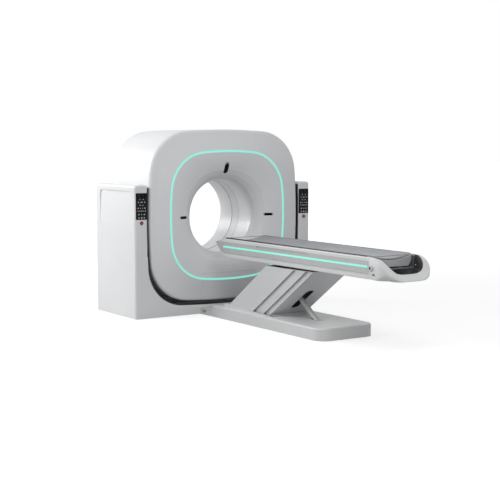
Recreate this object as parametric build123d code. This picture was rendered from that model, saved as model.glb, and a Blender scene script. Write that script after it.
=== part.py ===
"""CT scanner: a tilting gantry hung between the towers of a U-shaped stand, and its patient table.

Millimetres. +Z up, the gantry's front faces -Y, X runs across. The origin is on the floor below the isocentre.
"""
import os
from math import atan2, cos, hypot, pi, radians, sin, tan

from build123d import *

# ---- gantry, overall -------------------------------------------------------
ISO_Z = 932.0            # isocentre above the floor, also the tilt axis
BODY_HW = 847.0          # half width of the tilting body
BODY_HH = 825.0          # half height
BODY_ZC = 946.0          # its middle
BODY_R, BODY_BOW = 415.0, 4.0        # corner radius, and half the angle that its slightly bowed sides turn
FRONT_Y = -404.0         # plane of the tower fronts and of the body's front edge
BACK_Y = 387.0           # body's rear face
SEAM_F = -352.0          # front cover meets the wrap
SEAM_R = 350.0           # rear cover meets the wrap
COVER_T = 6.0            # moulded covers
FUNNEL_T = 5.0
SEAM = 0.3               # gap between neighbouring covers
RING_IN_X, RING_IN_Z, RING_IN_R = 193.0, 197.0, 24.0    # light ring inside the body's outline
RING_HW, RING_HH, RING_R, RING_BOW = BODY_HW - RING_IN_X, BODY_HH - RING_IN_Z, BODY_R - RING_IN_R, 5.8
RING_W = 20.0            # light ring's width
CROWN_RISE = 46.0        # the ring's face ahead of the body's front edge
RING_Y = FRONT_Y - CROWN_RISE
BORE_R = 355.0           # throat of the bore
WINDOW_STEP = 11.0
WINDOW_R = BORE_R + WINDOW_STEP          # scan window
WINDOW_HALF = 61.0       # half its length along the bore
SEAL_L = 2.8             # dark seal at each end of the window
REAR_FLARE = 115.0
REAR_MOUTH_R = BORE_R + REAR_FLARE       # rear funnel where it meets the rear cover
PANEL_HW, PANEL_DROP = 294.0, 540.0      # lower service panel: half width, top below the isocentre
PANEL_TOP = ISO_Z - PANEL_DROP
PILL_RISE, PILL_L, PILL_W = 471.0, 92.0, 30.0           # window over the bore
SLOT_X, SLOT_RISE, SLOT_L, SLOT_W = 488.0, 4.0, 84.0, 15.0   # windows beside it

# ---- gantry, inside --------------------------------------------------------
FRAME_Y0, FRAME_Y1 = 215.0, 240.0    # frame plate
FRAME_INSET = 35.0       # plate edge inside the body outline
DRUM_Y0, DRUM_Y1 = 140.0, 164.0      # rotor drum plate
DRUM_GAP = 45.0
DRUM_RI, DRUM_RO = BORE_R + DRUM_GAP, 760.0
JOURNAL_STEP = 70.0
JOURNAL_R = DRUM_RI + JOURNAL_STEP       # rotor journal in its air bearing
JOURNAL_T = 34.0
STATOR_T = 30.0
RUN_FIT = 0.05           # radial clearance of running fits
ARM_IN, ARM_T = 25.0, 24.0           # frame side arms: inside the body's side, and their thickness
ARM_X0, ARM_X1 = BODY_HW - ARM_IN - ARM_T, BODY_HW - ARM_IN
ARM_HALF_Z, ARM_Y0 = 180.0, -130.0
TRUNNION_R = 45.0
TRUNNION_FLANGE_R, TRUNNION_FLANGE_T = 100.0, 14.0
STANDOFF_IN_X, STANDOFF_IN_Z, STANDOFF_R = 287.0, 135.0, 15.0   # tubes that hold the front cover
STANDOFF_X, STANDOFF_Z = BODY_HW - STANDOFF_IN_X, BODY_HH - STANDOFF_IN_Z
PULLEY_X, PULLEY_DZ, PULLEY_R = 655.0, -600.0, 45.0
LIGHTENING_AT, LIGHTENING_R = 620.0, 62.0               # holes in the frame plate
MOTOR_SHAFT_R = 12.0
BELT_T, BELT_GAP = 5.0, 0.1
TUBE_RAD, TUBE_R = 590.0, 95.0       # X-ray tube: distance from the axis, own radius

# ---- stand -----------------------------------------------------------------
SIDE_GAP = 22.0          # between the body and a tower's inner wall
FOOT_GAP = 36.0          # between the body and the stand's opening, above and below
TOWER_W = 131.0
TOWER_IN = BODY_HW + SIDE_GAP            # inner wall of a tower
STAND_HW = TOWER_IN + TOWER_W
TOWER_RISE = 319.0
TOWER_TOP = ISO_Z + TOWER_RISE
TRUNNION_END = STAND_HW - 24
STAND_BACK = 404.0
FASCIA_T = 25.0
FASCIA_R = 20.0          # outer vertical edges
TOWER_R = 25.0           # top edges
SHELL_T = 6.0
U_HW, U_HH, U_R, U_BOW = TOWER_IN - 1, BODY_HH + FOOT_GAP, BODY_R - FOOT_GAP, 3.1    # opening that the body swings in
STRIP_W = 11.0           # black strip in the gap
STRIP_SET = 8.0          # behind the fascia's face
STRIP_D = 25.0
PLATE_T = 16.0           # floor plate
POST_CLEAR, POST_T = 15.0, 20.0
POST_IN, POST_OUT = TOWER_IN + POST_CLEAR, STAND_HW - POST_CLEAR - 5
POST_HALF_D, POST_TOP, POST_FLARE = 170.0, 1060.0, 110.0
BEARING_R = 80.0
HATCH_Y0, HATCH_Y1, HATCH_H, HATCH_D = -324.0, 315.0, 328.0, 9.0
HATCH_Z1 = TOWER_TOP - 58
HATCH_Z0 = HATCH_Z1 - HATCH_H
KEYPAD_H, KEYPAD_D = 248.0, 6.0
KEYPAD_X0, KEYPAD_X1, KEYPAD_Z1 = TOWER_IN + 3, STAND_HW - 10, TOWER_TOP - 72
KEYPAD_Z0 = KEYPAD_Z1 - KEYPAD_H
STOP_R, STOP_TRAVEL = 14.0, 4.0
STOP_X, STOP_Z = (KEYPAD_X0 + KEYPAD_X1) / 2, KEYPAD_Z0 - 31
FLANGE_T = 6.0           # flanges of the tilt bearings
WORM_R, WHEEL_R = 22.0, 110.0
WHEEL_W = POST_OUT - POST_IN - 2 * (POST_T + FLANGE_T + 2)
WORM_GAP = 0.4

# ---- table base ------------------------------------------------------------
BASE_HW = 298.0
BASE_END = -2320.0
BASE_H = 107.0
BASE_R = 110.0           # plan radius at the foot end
BASE_T = 6.0
BASE_LOW_H = 62.0        # low neck beside the stand
BASE_LOW_END, BASE_RAMP_END = -590.0, -700.0
PLINTH_H = 36.0          # sloping rim round the column, at its front
BED_PLATE_T = 14.0

# ---- lift linkage ----------------------------------------------------------
LINK_ANGLE = 34.7        # links above the horizontal, as the photo shows them
FOOT_Z = 130.0           # lower pivots
HEAD_Z = 600.0           # upper pivots
FRONT_PIVOT_Y, REAR_PIVOT_Y = -987.0, -1321.0
MID_PIVOT_Y = (FRONT_PIVOT_Y + REAR_PIVOT_Y) / 2
LINK_X = 150.0           # half width of the two arms
MID_LINK_X = 164.0
LINK_BAR, LINK_W = 50.0, 30.0
PIN_R = 15.0
CHEEK_X, CHEEK_T = 178.0, 10.0       # cheek plates that hold the pins
COVER_WALL = 5.0
FRONT_COVER_X, MID_COVER_X, REAR_COVER_X = 236.0, 218.0, 200.0
FRONT_COVER_P = (-95.0, 141.0)       # reach across the link, front cover
MID_COVER_P = (-20.0, 134.0)
REAR_COVER_P = (-30.0, 85.0)
COVER_FOOT_Z, COVER_HEAD_Z = 58.0, 556.0
STRUT_Y, STRUT_Z = -1907.0, 81.0     # strut's foot pivot
STRUT_R, STRUT_ROD_R = 23.5, 14.0
STRUT_REACH = 507.8      # its head pin, along the front arm
STRUT_TUBE_L = 400.0
STRUT_ROD_L = 360.0
STRUT_SLOT_A, STRUT_SLOT_L, STRUT_SLOT_W = 352.0, 330.0, 84.0   # slot in the rear cover, its middle along the link
FOOT_R = 172.0           # front cover's rounded foot, about the front pivot
COVER_LIP = 84.0         # lip of the rear cover that closes the well behind it

# ---- table top -------------------------------------------------------------
RAIL_X = 250.0           # outer face of the side rails
RAIL_IN = 240.0
DECK_HW = 226.0
RAIL_Z0, RAIL_TOP = 577.0, 750.0
DECK_Z0, DECK_T = 650.0, 10.0
TIP_Y, TIP_Z = -612.0, 714.0         # slanted front end
CHIN_Y, CHIN_Z = -738.0, 590.0
BROW_Y = -764.0          # where the slope over the tip meets the rails' top
DECK_Y0 = TIP_Y - 95     # carriage starts behind the slanted end
SCOOP_Y0, TOP_END = -2877.0, -3110.0 # foot scoop
SCOOP_R = 150.0          # its plan corners
SCOOP_WALL = 55.0
SCOOP_OUT = (-3072.0, 12.0)          # foot of the outer curve: place, height over the underside
SCOOP_IN = (-3055.0, 49.0)           # and of the inner one
SCOOP_HOLD, SCOOP_LAND = 62.0, 62.0  # how far the rails' height holds on, and how steeply it lands
LIP_END, LIP_EDGE = -3096.0, 10.0    # bevel of the lip at the foot: its end, height left under it
LINER_T = 5.0
LIGHT_Z, LIGHT_H, LIGHT_T = 675.0, 18.0, 6.0
LIGHT_Y0, LIGHT_Y1 = -742.0, -2858.0
GRIP_Y0, GRIP_Y1, GRIP_Z0, GRIP_Z1 = -1296.0, -2076.0, 703.0, 721.0
GROOVE_Z0, GROOVE_Z1, GROOVE_D = 611.0, 621.0, 8.0
KNOB_Y, KNOB_Z, KNOB_R, KNOB_SHAFT_R = -2901.0, 667.0, 23.0, 6.0
CRADLE_HW, CRADLE_TOP = 223.0, 757.0
CRADLE_DIP, CRADLE_Z0 = 40.0, 662.0
KEEL_HW = 155.0          # flat keel of the cradle
CRADLE_GAP = 3.0         # room round it in the nose
CRADLE_HEAD_R, CRADLE_FOOT_R = 40.0, 48.0   # its plan corners
CRADLE_Y0, CRADLE_Y1 = -701.0, -2874.0
PAD_T = 10.0
PAD_Y0, PAD_Y1 = -722.0, -2866.0


# ---- helpers ---------------------------------------------------------------
def box(x0, x1, y0, y1, z0, z1):
    size = (abs(x1 - x0), abs(y1 - y0), abs(z1 - z0))
    return Pos((x0 + x1) / 2, (y0 + y1) / 2, (z0 + z1) / 2) * Box(*size)


def cyl(axis, r, a, b, u, v):
    """Cylinder along X, Y or Z from a to b, its axis through the other two coordinates u, v."""
    if axis == "X":
        plane = Plane(origin=(a, u, v), z_dir=(1, 0, 0))
    elif axis == "Y":
        plane = Plane(origin=(u, a, v), z_dir=(0, 1, 0))
    else:
        plane = Plane(origin=(u, v, a), z_dir=(0, 0, 1))
    return extrude(plane * Circle(r), b - a)


def tube(axis, r_out, r_in, a, b, u, v):
    return cyl(axis, r_out, a, b, u, v) - cyl(axis, r_in, a - 1, b + 1, u, v)


def side_profile(points, x0, x1):
    """Extrude a polygon given as (y, z) across X."""
    face = make_face(Polyline(*[(x0, y, z) for y, z in points], close=True))
    return extrude(face, x1 - x0, dir=(1, 0, 0))


def front_profile(points, y0, y1):
    """Extrude a polygon given as (x, z) along Y."""
    face = make_face(Polyline(*[(x, y0, z) for x, z in points], close=True))
    return extrude(face, y1 - y0, dir=(0, 1, 0))


def outline(hw, hh, r, bow, zc, y):
    """Rounded square in the plane y: four corner arcs and four bowed sides, all tangent."""
    b = radians(bow)
    k = tan(b / 2)
    cx = (hw - r - (hh - r) * k) / (1 - k * k)
    cz = hh - r - cx * k
    arcs = []
    for turn in range(4):
        sx, sz = ((1, 1), (-1, 1), (-1, -1), (1, -1))[turn]
        corner = [(sx * (cx + r * cos(t)), y, zc + sz * (cz + r * sin(t))) for t in (b, pi / 4, pi / 2 - b)]
        if turn % 2:
            corner.reverse()
        x, z = corner[-1][0], corner[-1][2]
        if turn % 2 == 0:
            run = [(x, y, z), (0, y, zc + sz * hh), (-x, y, z)]
        else:
            run = [(x, y, z), (sx * hw, y, zc), (x, y, 2 * zc - z)]
        arcs += [Edge.make_three_point_arc(*[Vector(*p) for p in points]) for points in (corner, run)]
    return Wire(arcs)


def loft_through(sections):
    return Solid.make_loft([outline(*s) for s in sections], ruled=True)


def prism(hw, hh, r, bow, zc, y0, y1, inset=0.0):
    """Extruded rounded square, its outline moved in by the inset."""
    face = Face(outline(hw - inset, hh - inset, r - inset, bow, zc, y0))
    return extrude(face, y1 - y0, dir=(0, 1, 0))


def body_prism(y0, y1, inset=0.0):
    return prism(BODY_HW, BODY_HH, BODY_R, BODY_BOW, BODY_ZC, y0, y1, inset)


def ring_prism(y0, y1, inset=0.0):
    return prism(RING_HW, RING_HH, RING_R, RING_BOW, BODY_ZC, y0, y1, inset)


def u_prism(y0, y1, inset=0.0):
    return prism(U_HW, U_HH, U_R, U_BOW, BODY_ZC, y0, y1, inset)


def mirrored(part):
    return mirror(part, about=Plane.YZ)


def one(part):
    """The single solid in a result."""
    solids = part.solids()
    return solids[0] if len(solids) == 1 else max(solids, key=lambda s: s.volume)


def group(*parts):
    return Compound(children=[s for p in parts for s in p.solids()])


# ---- gantry covers ---------------------------------------------------------
CROWN = [  # share of the way in to the light ring, place along Y from FRONT_Y
    (0.0, 30.0), (0.02, 15.0), (0.065, 5.0), (0.145, -0.5), (0.35, -10.0), (0.66, -27.0), (1.0, -44.0),
]


def crown_sections(inward=0.0):
    """Outlines of the front cover, from its seam round the edge and up to the light ring."""
    body, ring = (BODY_HW, BODY_HH, BODY_R, BODY_BOW), (RING_HW, RING_HH, RING_R, RING_BOW)
    rows = []
    for t, dy in [(0.0, SEAM_F - FRONT_Y + (12 if inward else 0))] + CROWN:
        hw, hh, r, bow = [b + (a - b) * t for b, a in zip(body, ring)]
        rows.append((hw - inward, hh - inward, r - inward, bow, BODY_ZC, FRONT_Y + dy + (inward if dy < 40 else 0)))
    return rows


FUNNEL_RIM = RING_W + 1.6
FUNNEL = [  # half width, half height, corner radius, bow, middle above the isocentre, place along Y
    (RING_HW - FUNNEL_RIM, RING_HH - FUNNEL_RIM, RING_R - FUNNEL_RIM, RING_BOW, BODY_ZC - ISO_Z, RING_Y + 1),
    (580, 560, 370, 6.5, 13, -441.5), (531, 516, 363, 7.2, 11, -431), (490, 480, 360, 8.1, 9, -418.5),
    (445, 442, 364, 9.3, 6, -401), (405, 405, 372, 11, 3, -372), (375, 375, 364, 12, 1, -337),
    (BORE_R + 3, BORE_R + 3, BORE_R + 3, 12, 0, -297), (BORE_R, BORE_R, BORE_R, 12, 0, -250),
    (WINDOW_R, WINDOW_R, WINDOW_R, 12, 0, -WINDOW_HALF - SEAL_L - SEAM),
]


def offset_profile(rows, t):
    """Move each section outward from the air inside, along the profile's normal."""
    out = []
    for i, (hw, hh, r, bow, dz, y) in enumerate(rows):
        a, b = rows[max(i - 1, 0)], rows[min(i + 1, len(rows) - 1)]
        dr, dy = b[0] - a[0], b[5] - a[5]
        length = hypot(dr, dy)
        nr, ny = (dy / length, -dr / length) if i < len(rows) - 1 else (1.0, 0.0)
        out.append((hw + t * nr, hh + t * nr, r + t * nr, bow, dz, y + t * ny))
    return out


def as_sections(rows):
    return [(hw, hh, r, bow, ISO_Z + dz, y) for hw, hh, r, bow, dz, y in rows]


def front_covers():
    """Crowned front cover, dished funnel, lower service panel and the black windows."""
    cover = loft_through(crown_sections()) - loft_through(crown_sections(COVER_T)) - ring_prism(RING_Y - 20, RING_Y + 60)
    channel = ring_prism(RING_Y + 14, RING_Y + 20, -4) - ring_prism(RING_Y, RING_Y + 40, RING_W - 3)
    channel += ring_prism(RING_Y + 4, RING_Y + 20, -4) - ring_prism(RING_Y + 3, RING_Y + 21)
    rim = RING_W + SEAM
    outer = offset_profile(FUNNEL, FUNNEL_T)
    first = (RING_HW - rim, RING_HH - rim, RING_R - rim, RING_BOW, BODY_ZC - ISO_Z)
    outer = [first + (FUNNEL[0][5],), first + (outer[0][5],)] + outer[1:]
    funnel = loft_through(as_sections(outer)) - loft_through(as_sections(FUNNEL))
    deep = SEAM_F - RING_Y
    windows = []
    for x, rise, long, wide, turn in ((0, PILL_RISE, PILL_L, PILL_W, 90), (SLOT_X, SLOT_RISE, SLOT_L, SLOT_W, 0), (-SLOT_X, SLOT_RISE, SLOT_L, SLOT_W, 0)):
        plane = Plane(origin=(x, RING_Y, ISO_Z + rise), x_dir=(1, 0, 0), z_dir=(0, 1, 0))
        windows.append(funnel & extrude(plane * SlotOverall(long, wide, rotation=turn), deep))
        funnel = funnel - extrude(plane * SlotOverall(long + 2 * SEAM, wide + 2 * SEAM, rotation=turn), deep)
    y0, y1 = RING_Y - 50, SEAM_F + 50
    region = box(-PANEL_HW, PANEL_HW, y0, y1, 0, PANEL_TOP)
    wide = box(-PANEL_HW - 1.5, PANEL_HW + 1.5, y0, y1, 0, PANEL_TOP + 1.5)
    shell = cover + channel
    tie = ring_prism(RING_Y + 14, RING_Y + 20, RING_W - 5) - ring_prism(RING_Y + 13, RING_Y + 21, RING_W + 8)
    tie += ring_prism(RING_Y + 3, RING_Y + 20, RING_W + SEAM) - ring_prism(RING_Y + 2, RING_Y + 21, RING_W + 8)
    panel = (shell & region) + (tie & region) + (funnel & region)
    return one(shell - wide), one(funnel - wide), one(panel), group(*windows)


def light_ring():
    return one(ring_prism(RING_Y, RING_Y + 14, SEAM) - ring_prism(RING_Y - 1, RING_Y + 15, RING_W))


def rear_covers():
    rows = [(0, SEAM_R), (0, BACK_Y - 22), (8, BACK_Y - 8), (22, BACK_Y - 1), (34, BACK_Y)]
    outer = [(BODY_HW - i, BODY_HH - i, BODY_R - i, BODY_BOW, BODY_ZC, y) for i, y in rows]
    t = COVER_T
    inner = [(hw - t, hh - t, r - t, bow, zc, y - t) for hw, hh, r, bow, zc, y in outer]
    cover = loft_through(outer) - loft_through([inner[0][:5] + (SEAM_R - 12,)] + inner[1:])
    cover -= cyl("Y", REAR_MOUTH_R + SEAM, BACK_Y - 40, BACK_Y + 5, 0, ISO_Z)
    y0 = WINDOW_HALF + SEAL_L + SEAM
    air = [(WINDOW_R, y0), (WINDOW_R + 1, 267), (385, 320), (420, 360), (REAR_MOUTH_R - 4, BACK_Y)]
    wall = [(WINDOW_R + 5, y0), (WINDOW_R + 6, 265), (391, 317), (427, 354), (REAR_MOUTH_R, BACK_Y - 4), (REAR_MOUTH_R, BACK_Y)]
    face = make_face(Polyline(*[(r, y, 0) for r, y in air + wall[::-1]], close=True))
    funnel = revolve(face, Axis.Y)
    return one(cover), one(Pos(0, 0, ISO_Z) * funnel)


def body_wrap():
    """Band round the sides, top and bottom, with a hole for each trunnion."""
    wrap = body_prism(SEAM_F + SEAM, SEAM_R - SEAM) - body_prism(SEAM_F - 5, SEAM_R + 5, COVER_T)
    return one(wrap - cyl("X", TRUNNION_R + 10, -STAND_HW, STAND_HW, 0, ISO_Z))


def scan_window():
    return one(tube("Y", WINDOW_R + 4, WINDOW_R + 1.5, -WINDOW_HALF, WINDOW_HALF, 0, ISO_Z))


def window_seals():
    ring = tube("Y", WINDOW_R + 6, WINDOW_R, WINDOW_HALF, WINDOW_HALF + SEAL_L, 0, ISO_Z)
    return group(ring, mirror(ring, about=Plane.XZ))


# ---- gantry frame and rotor ------------------------------------------------
def gantry_frame():
    plate = body_prism(FRAME_Y0, FRAME_Y1, FRAME_INSET)
    fit = body_prism(FRAME_Y0, FRAME_Y1, COVER_T + SEAM)
    tabs = box(-60, 60, FRAME_Y0, FRAME_Y1, 0, 2 * STAND_HW) + box(-STAND_HW, STAND_HW, FRAME_Y0, FRAME_Y1, ISO_Z - 60, ISO_Z + 60)
    plate = plate + (fit & tabs)
    plate -= cyl("Y", JOURNAL_R + STATOR_T, FRAME_Y0 - 1, FRAME_Y1 + 1, 0, ISO_Z)
    for sx in (-1, 1):
        for a in (68, 22, -20, -68):
            x, z = sx * LIGHTENING_AT * cos(radians(a)), ISO_Z + LIGHTENING_AT * sin(radians(a))
            plate -= cyl("Y", LIGHTENING_R, FRAME_Y0 - 1, FRAME_Y1 + 1, x, z)
        arm = box(sx * ARM_X0, sx * ARM_X1, ARM_Y0, FRAME_Y1, ISO_Z - ARM_HALF_Z, ISO_Z + ARM_HALF_Z)
        gusset = side_profile([(FRAME_Y0, ISO_Z - 320), (FRAME_Y0, ISO_Z + 320), (40, ISO_Z + 160), (40, ISO_Z - 160)], sx * ARM_X0, sx * ARM_X1)
        plate = plate + (arm + gusset)
    plate -= cyl("Y", MOTOR_SHAFT_R + RUN_FIT, FRAME_Y0 - 1, FRAME_Y1 + 1, PULLEY_X, ISO_Z + PULLEY_DZ)
    space = loft_through(crown_sections(COVER_T + SEAM)) + body_prism(SEAM_F, FRAME_Y0 + 1, 40)
    for x in (-STANDOFF_X, STANDOFF_X):
        for z in (-STANDOFF_Z, STANDOFF_Z):
            plate = plate + (cyl("Y", STANDOFF_R, RING_Y, FRAME_Y0, x, ISO_Z + z) & space)
    return one(plate)


def trunnions():
    """Stub shafts that the body swings on; the left one carries the worm wheel."""
    right = cyl("X", TRUNNION_FLANGE_R, ARM_X1, ARM_X1 + TRUNNION_FLANGE_T, 0, ISO_Z)
    right += cyl("X", TRUNNION_R, ARM_X1, TRUNNION_END, 0, ISO_Z)
    x = -(POST_IN + POST_OUT) / 2
    return group(right, mirrored(right) + cyl("X", WHEEL_R, x - WHEEL_W / 2, x + WHEEL_W / 2, 0, ISO_Z))


def air_bearing():
    return one(tube("Y", JOURNAL_R + STATOR_T, JOURNAL_R + RUN_FIT, DRUM_Y1 + 4, FRAME_Y1, 0, ISO_Z))


def rotor_drum():
    drum = tube("Y", DRUM_RO, DRUM_RI, DRUM_Y0, DRUM_Y1, 0, ISO_Z)
    drum += tube("Y", DRUM_RO, DRUM_RO - 14, DRUM_Y0 - 28, DRUM_Y0, 0, ISO_Z)
    drum += tube("Y", DRUM_RI + 12, DRUM_RI, DRUM_Y0 - 60, DRUM_Y0, 0, ISO_Z)
    drum += tube("Y", JOURNAL_R, JOURNAL_R - JOURNAL_T, DRUM_Y1, FRAME_Y1 - 6, 0, ISO_Z)
    for a in (35, 145):
        drum -= cyl("Y", 55, DRUM_Y0 - 1, DRUM_Y1 + 1, 640 * cos(radians(a)), ISO_Z + 640 * sin(radians(a)))
    return one(drum)


def xray_tube():
    z = ISO_Z + TUBE_RAD
    housing = cyl("Y", TUBE_R, -120, 100, 0, z) + cyl("Y", TUBE_R - 25, -150, DRUM_Y0, 0, z)
    return one(housing)


def collimator():
    top = ISO_Z + TUBE_RAD - TUBE_R
    body = box(-110, 110, -70, DRUM_Y0, ISO_Z + 428, top + 12) - cyl("Y", TUBE_R, -200, 200, 0, ISO_Z + TUBE_RAD)
    return one(body - box(-60, 60, -6, 6, ISO_Z + 400, top + 20))


def detector_arc():
    r0, r1, half = 1040.0, 1104.0, 25.5
    ring = tube("Y", r1, r0, -90, DRUM_Y0, 0, ISO_Z + TUBE_RAD)
    reach = 1600.0
    wedge = front_profile([(0, ISO_Z + TUBE_RAD), (reach * tan(radians(half)), ISO_Z + TUBE_RAD - reach),
                           (-reach * tan(radians(half)), ISO_Z + TUBE_RAD - reach)], -91, DRUM_Y0 + 1)
    return one(ring & wedge)


def slip_ring():
    ring = tube("Y", 700, 560, DRUM_Y1, DRUM_Y1 + 22, 0, ISO_Z)
    for r in (590, 620, 650, 680):
        ring -= tube("Y", r + 3, r - 3, DRUM_Y1 + 18, DRUM_Y1 + 23, 0, ISO_Z)
    return one(ring)


def brush_block():
    y = DRUM_Y1 + 22 + SEAM
    block = box(-45, 45, y + 4, FRAME_Y0, ISO_Z - 705, ISO_Z - 565)
    for r in (605, 635, 665):
        block += box(-30, 30, y, y + 4, ISO_Z - r - 5, ISO_Z - r + 5)
    return one(block)


def belt_loop(extra):
    """Filled outline of the rim and the pulley with the belt's straight runs, grown by extra."""
    rim = Circle(DRUM_RO + extra)
    small = Pos(PULLEY_X, PULLEY_DZ) * Circle(PULLEY_R + extra)
    hull = make_hull(rim.edges() + small.edges())
    return Plane(origin=(0, DRUM_Y0 - 22, ISO_Z), x_dir=(1, 0, 0), z_dir=(0, -1, 0)) * hull


def drive_belt():
    y0, width = DRUM_Y0 - 22, 38.0
    outer = extrude(belt_loop(BELT_GAP + BELT_T), -width)
    inner = extrude(belt_loop(BELT_GAP), -width)
    return one(outer - inner)


def drive_pulley():
    z = ISO_Z + PULLEY_DZ
    return one(cyl("Y", PULLEY_R, DRUM_Y0 - 24, DRUM_Y1 - 4, PULLEY_X, z) + cyl("Y", MOTOR_SHAFT_R, DRUM_Y1 - 4, FRAME_Y1 + 2, PULLEY_X, z))


def drive_motor():
    z = ISO_Z + PULLEY_DZ
    motor = cyl("Y", 55, FRAME_Y1, FRAME_Y1 + 112, PULLEY_X, z)
    return one(motor - cyl("Y", MOTOR_SHAFT_R + RUN_FIT, FRAME_Y1 - 1, FRAME_Y1 + 3, PULLEY_X, z))


# ---- stand -----------------------------------------------------------------
def u_outline(y0, y1):
    """U-shaped plate of the stand: towers and low beam round the body's opening."""
    plate = box(-STAND_HW, STAND_HW, y0, y1, 0, TOWER_TOP) - u_prism(y0 - 5, y1 + 5)
    tops = plate.edges().filter_by(Axis.Y).filter_by(lambda e: abs(e.center().Z - TOWER_TOP) < 1)
    return fillet(tops, TOWER_R)


def front_fascia():
    plate = u_outline(FRONT_Y, FRONT_Y + FASCIA_T)
    edges = plate.edges().filter_by(Axis.Z).filter_by(lambda e: abs(abs(e.center().X) - STAND_HW) < 1 and e.center().Y < FRONT_Y + 1)
    plate = fillet(edges, FASCIA_R)
    for s in (-1, 1):
        plate -= box(s * KEYPAD_X0, s * KEYPAD_X1, FRONT_Y - 1, FRONT_Y + KEYPAD_D, KEYPAD_Z0, KEYPAD_Z1)
        plate -= cyl("Y", STOP_R + 3, FRONT_Y - 1, FRONT_Y + FASCIA_T + 1, s * STOP_X, STOP_Z)
    return one(plate)


def rear_fascia():
    plate = u_outline(STAND_BACK - FASCIA_T, STAND_BACK)
    edges = plate.edges().filter_by(Axis.Z).filter_by(lambda e: abs(abs(e.center().X) - STAND_HW) < 1 and e.center().Y > STAND_BACK - 1)
    return one(fillet(edges, FASCIA_R))


def tower_cover():
    """Right tower's outer, top and inner walls, with the shallow recess that fades out downward."""
    y0, y1 = FRONT_Y + FASCIA_T + SEAM, STAND_BACK - FASCIA_T - SEAM
    shell = box(TOWER_IN, STAND_HW, y0, y1, 0, TOWER_TOP)
    shell = fillet(shell.edges().filter_by(Axis.Y).filter_by(lambda e: e.center().Z > TOWER_TOP - 1), TOWER_R)
    inside = box(TOWER_IN + SHELL_T, STAND_HW - SHELL_T - HATCH_D / 2, y0 - 1, y1 + 1, -1, TOWER_TOP - SHELL_T)
    inside = fillet(inside.edges().filter_by(Axis.Y).filter_by(lambda e: e.center().Z > 1), TOWER_R - SHELL_T)
    shell -= inside
    shell -= box(TOWER_IN - 1, TOWER_IN + SHELL_T + 1, y0 - 1, y1 + 1, -1, PLATE_T + SEAM)
    wedge = front_profile([(STAND_HW - HATCH_D, HATCH_Z1), (STAND_HW + 5, HATCH_Z1), (STAND_HW + 5, HATCH_Z0), (STAND_HW, HATCH_Z0)], HATCH_Y0, HATCH_Y1)
    wedge = fillet(wedge.edges().filter_by(Axis.X).filter_by(lambda e: e.center().Z > HATCH_Z1 - 1), 38)
    shell -= wedge
    return one(shell - cyl("X", TRUNNION_R + 15, TOWER_IN - 1, TOWER_IN + 20, 0, ISO_Z))


def inner_panel():
    y0, y1 = FRONT_Y + FASCIA_T + SEAM, STAND_BACK - FASCIA_T - SEAM
    panel = box(TOWER_IN - 3, TOWER_IN, y0 + 12, y1 - 12, PLATE_T + SEAM, TOWER_TOP - TOWER_R - 5)
    return one(panel - cyl("X", TRUNNION_R + 15, TOWER_IN - 10, TOWER_IN + 5, 0, ISO_Z))


def gap_strip(y0):
    """Black strip set back in the gap between the body and the stand."""
    strip = u_prism(y0, y0 + STRIP_D, SEAM) - u_prism(y0 - 1, y0 + STRIP_D + 1, STRIP_W)
    return one(strip & box(-STAND_HW, STAND_HW, y0 - 1, y0 + STRIP_D + 1, 0, TOWER_TOP - TOWER_R))


def stand_frame():
    """Floor plate with a pair of posts each side that carry the tilt bearings."""
    depth = FRONT_Y + FASCIA_T + SEAM
    side = STAND_HW - SHELL_T - HATCH_D / 2 - SEAM
    frame = box(-side, side, depth, -depth, 0, PLATE_T)
    right = Part()
    for x0, x1 in ((POST_IN, POST_IN + POST_T), (POST_OUT - POST_T, POST_OUT)):
        d, foot = POST_HALF_D, POST_HALF_D + POST_FLARE
        post = side_profile([(-foot, PLATE_T), (foot, PLATE_T), (d, 420), (d, POST_TOP), (-d, POST_TOP), (-d, 420)], x0, x1)
        right += post
    for y in (-POST_HALF_D, POST_HALF_D - 14):
        right += box(POST_IN, POST_OUT, y, y + 14, PLATE_T, POST_TOP)
    right -= cyl("X", BEARING_R, POST_IN - 1, POST_OUT + 1, 0, ISO_Z)
    frame = frame + right + mirrored(right)
    worm_x, worm_z = -(POST_IN + POST_OUT) / 2, ISO_Z - WHEEL_R - WORM_R - WORM_GAP
    frame -= cyl("Y", 10 + RUN_FIT, -POST_HALF_D - 1, POST_HALF_D + 1, worm_x, worm_z)
    for x, y in ANCHORS:
        frame -= cyl("Z", ANCHOR_R, -1, PLATE_T + 1, x, y)
    return one(frame)


ANCHOR_R = 11.0
POST_MID = (POST_IN + POST_OUT) / 2
ANCHORS = [(x, y) for x in (-420, 420) for y in (-335, 335)] + [(x, y) for x in (-POST_MID, POST_MID) for y in (-225, 225)]


def anchor_bolts():
    bolts = []
    for x, y in ANCHORS:
        head = extrude(Plane(origin=(x, y, PLATE_T)) * RegularPolygon(15, 6), 12)
        bolts.append(head + cyl("Z", ANCHOR_R - 1, 0, PLATE_T, x, y))
    return group(*bolts)


def tilt_bearings():
    """A flanged bearing in each of the four posts."""
    parts = []
    for x0, x1, f0, f1 in ((POST_IN, POST_IN + POST_T, POST_IN + POST_T, POST_IN + POST_T + FLANGE_T),
                           (POST_OUT - POST_T, POST_OUT, POST_OUT - POST_T - FLANGE_T, POST_OUT - POST_T)):
        ring = tube("X", BEARING_R, TRUNNION_R + RUN_FIT, x0, x1, 0, ISO_Z) + tube("X", BEARING_R + 14, TRUNNION_R + RUN_FIT, f0, f1, 0, ISO_Z)
        parts += [ring, mirrored(ring)]
    return group(*parts)


def tilt_worm():
    x, z = -(POST_IN + POST_OUT) / 2, ISO_Z - WHEEL_R - WORM_R - WORM_GAP
    worm = cyl("Y", WORM_R, -90, 90, x, z) + cyl("Y", 10, -POST_HALF_D, POST_HALF_D + 4, x, z)
    return one(worm)


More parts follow.
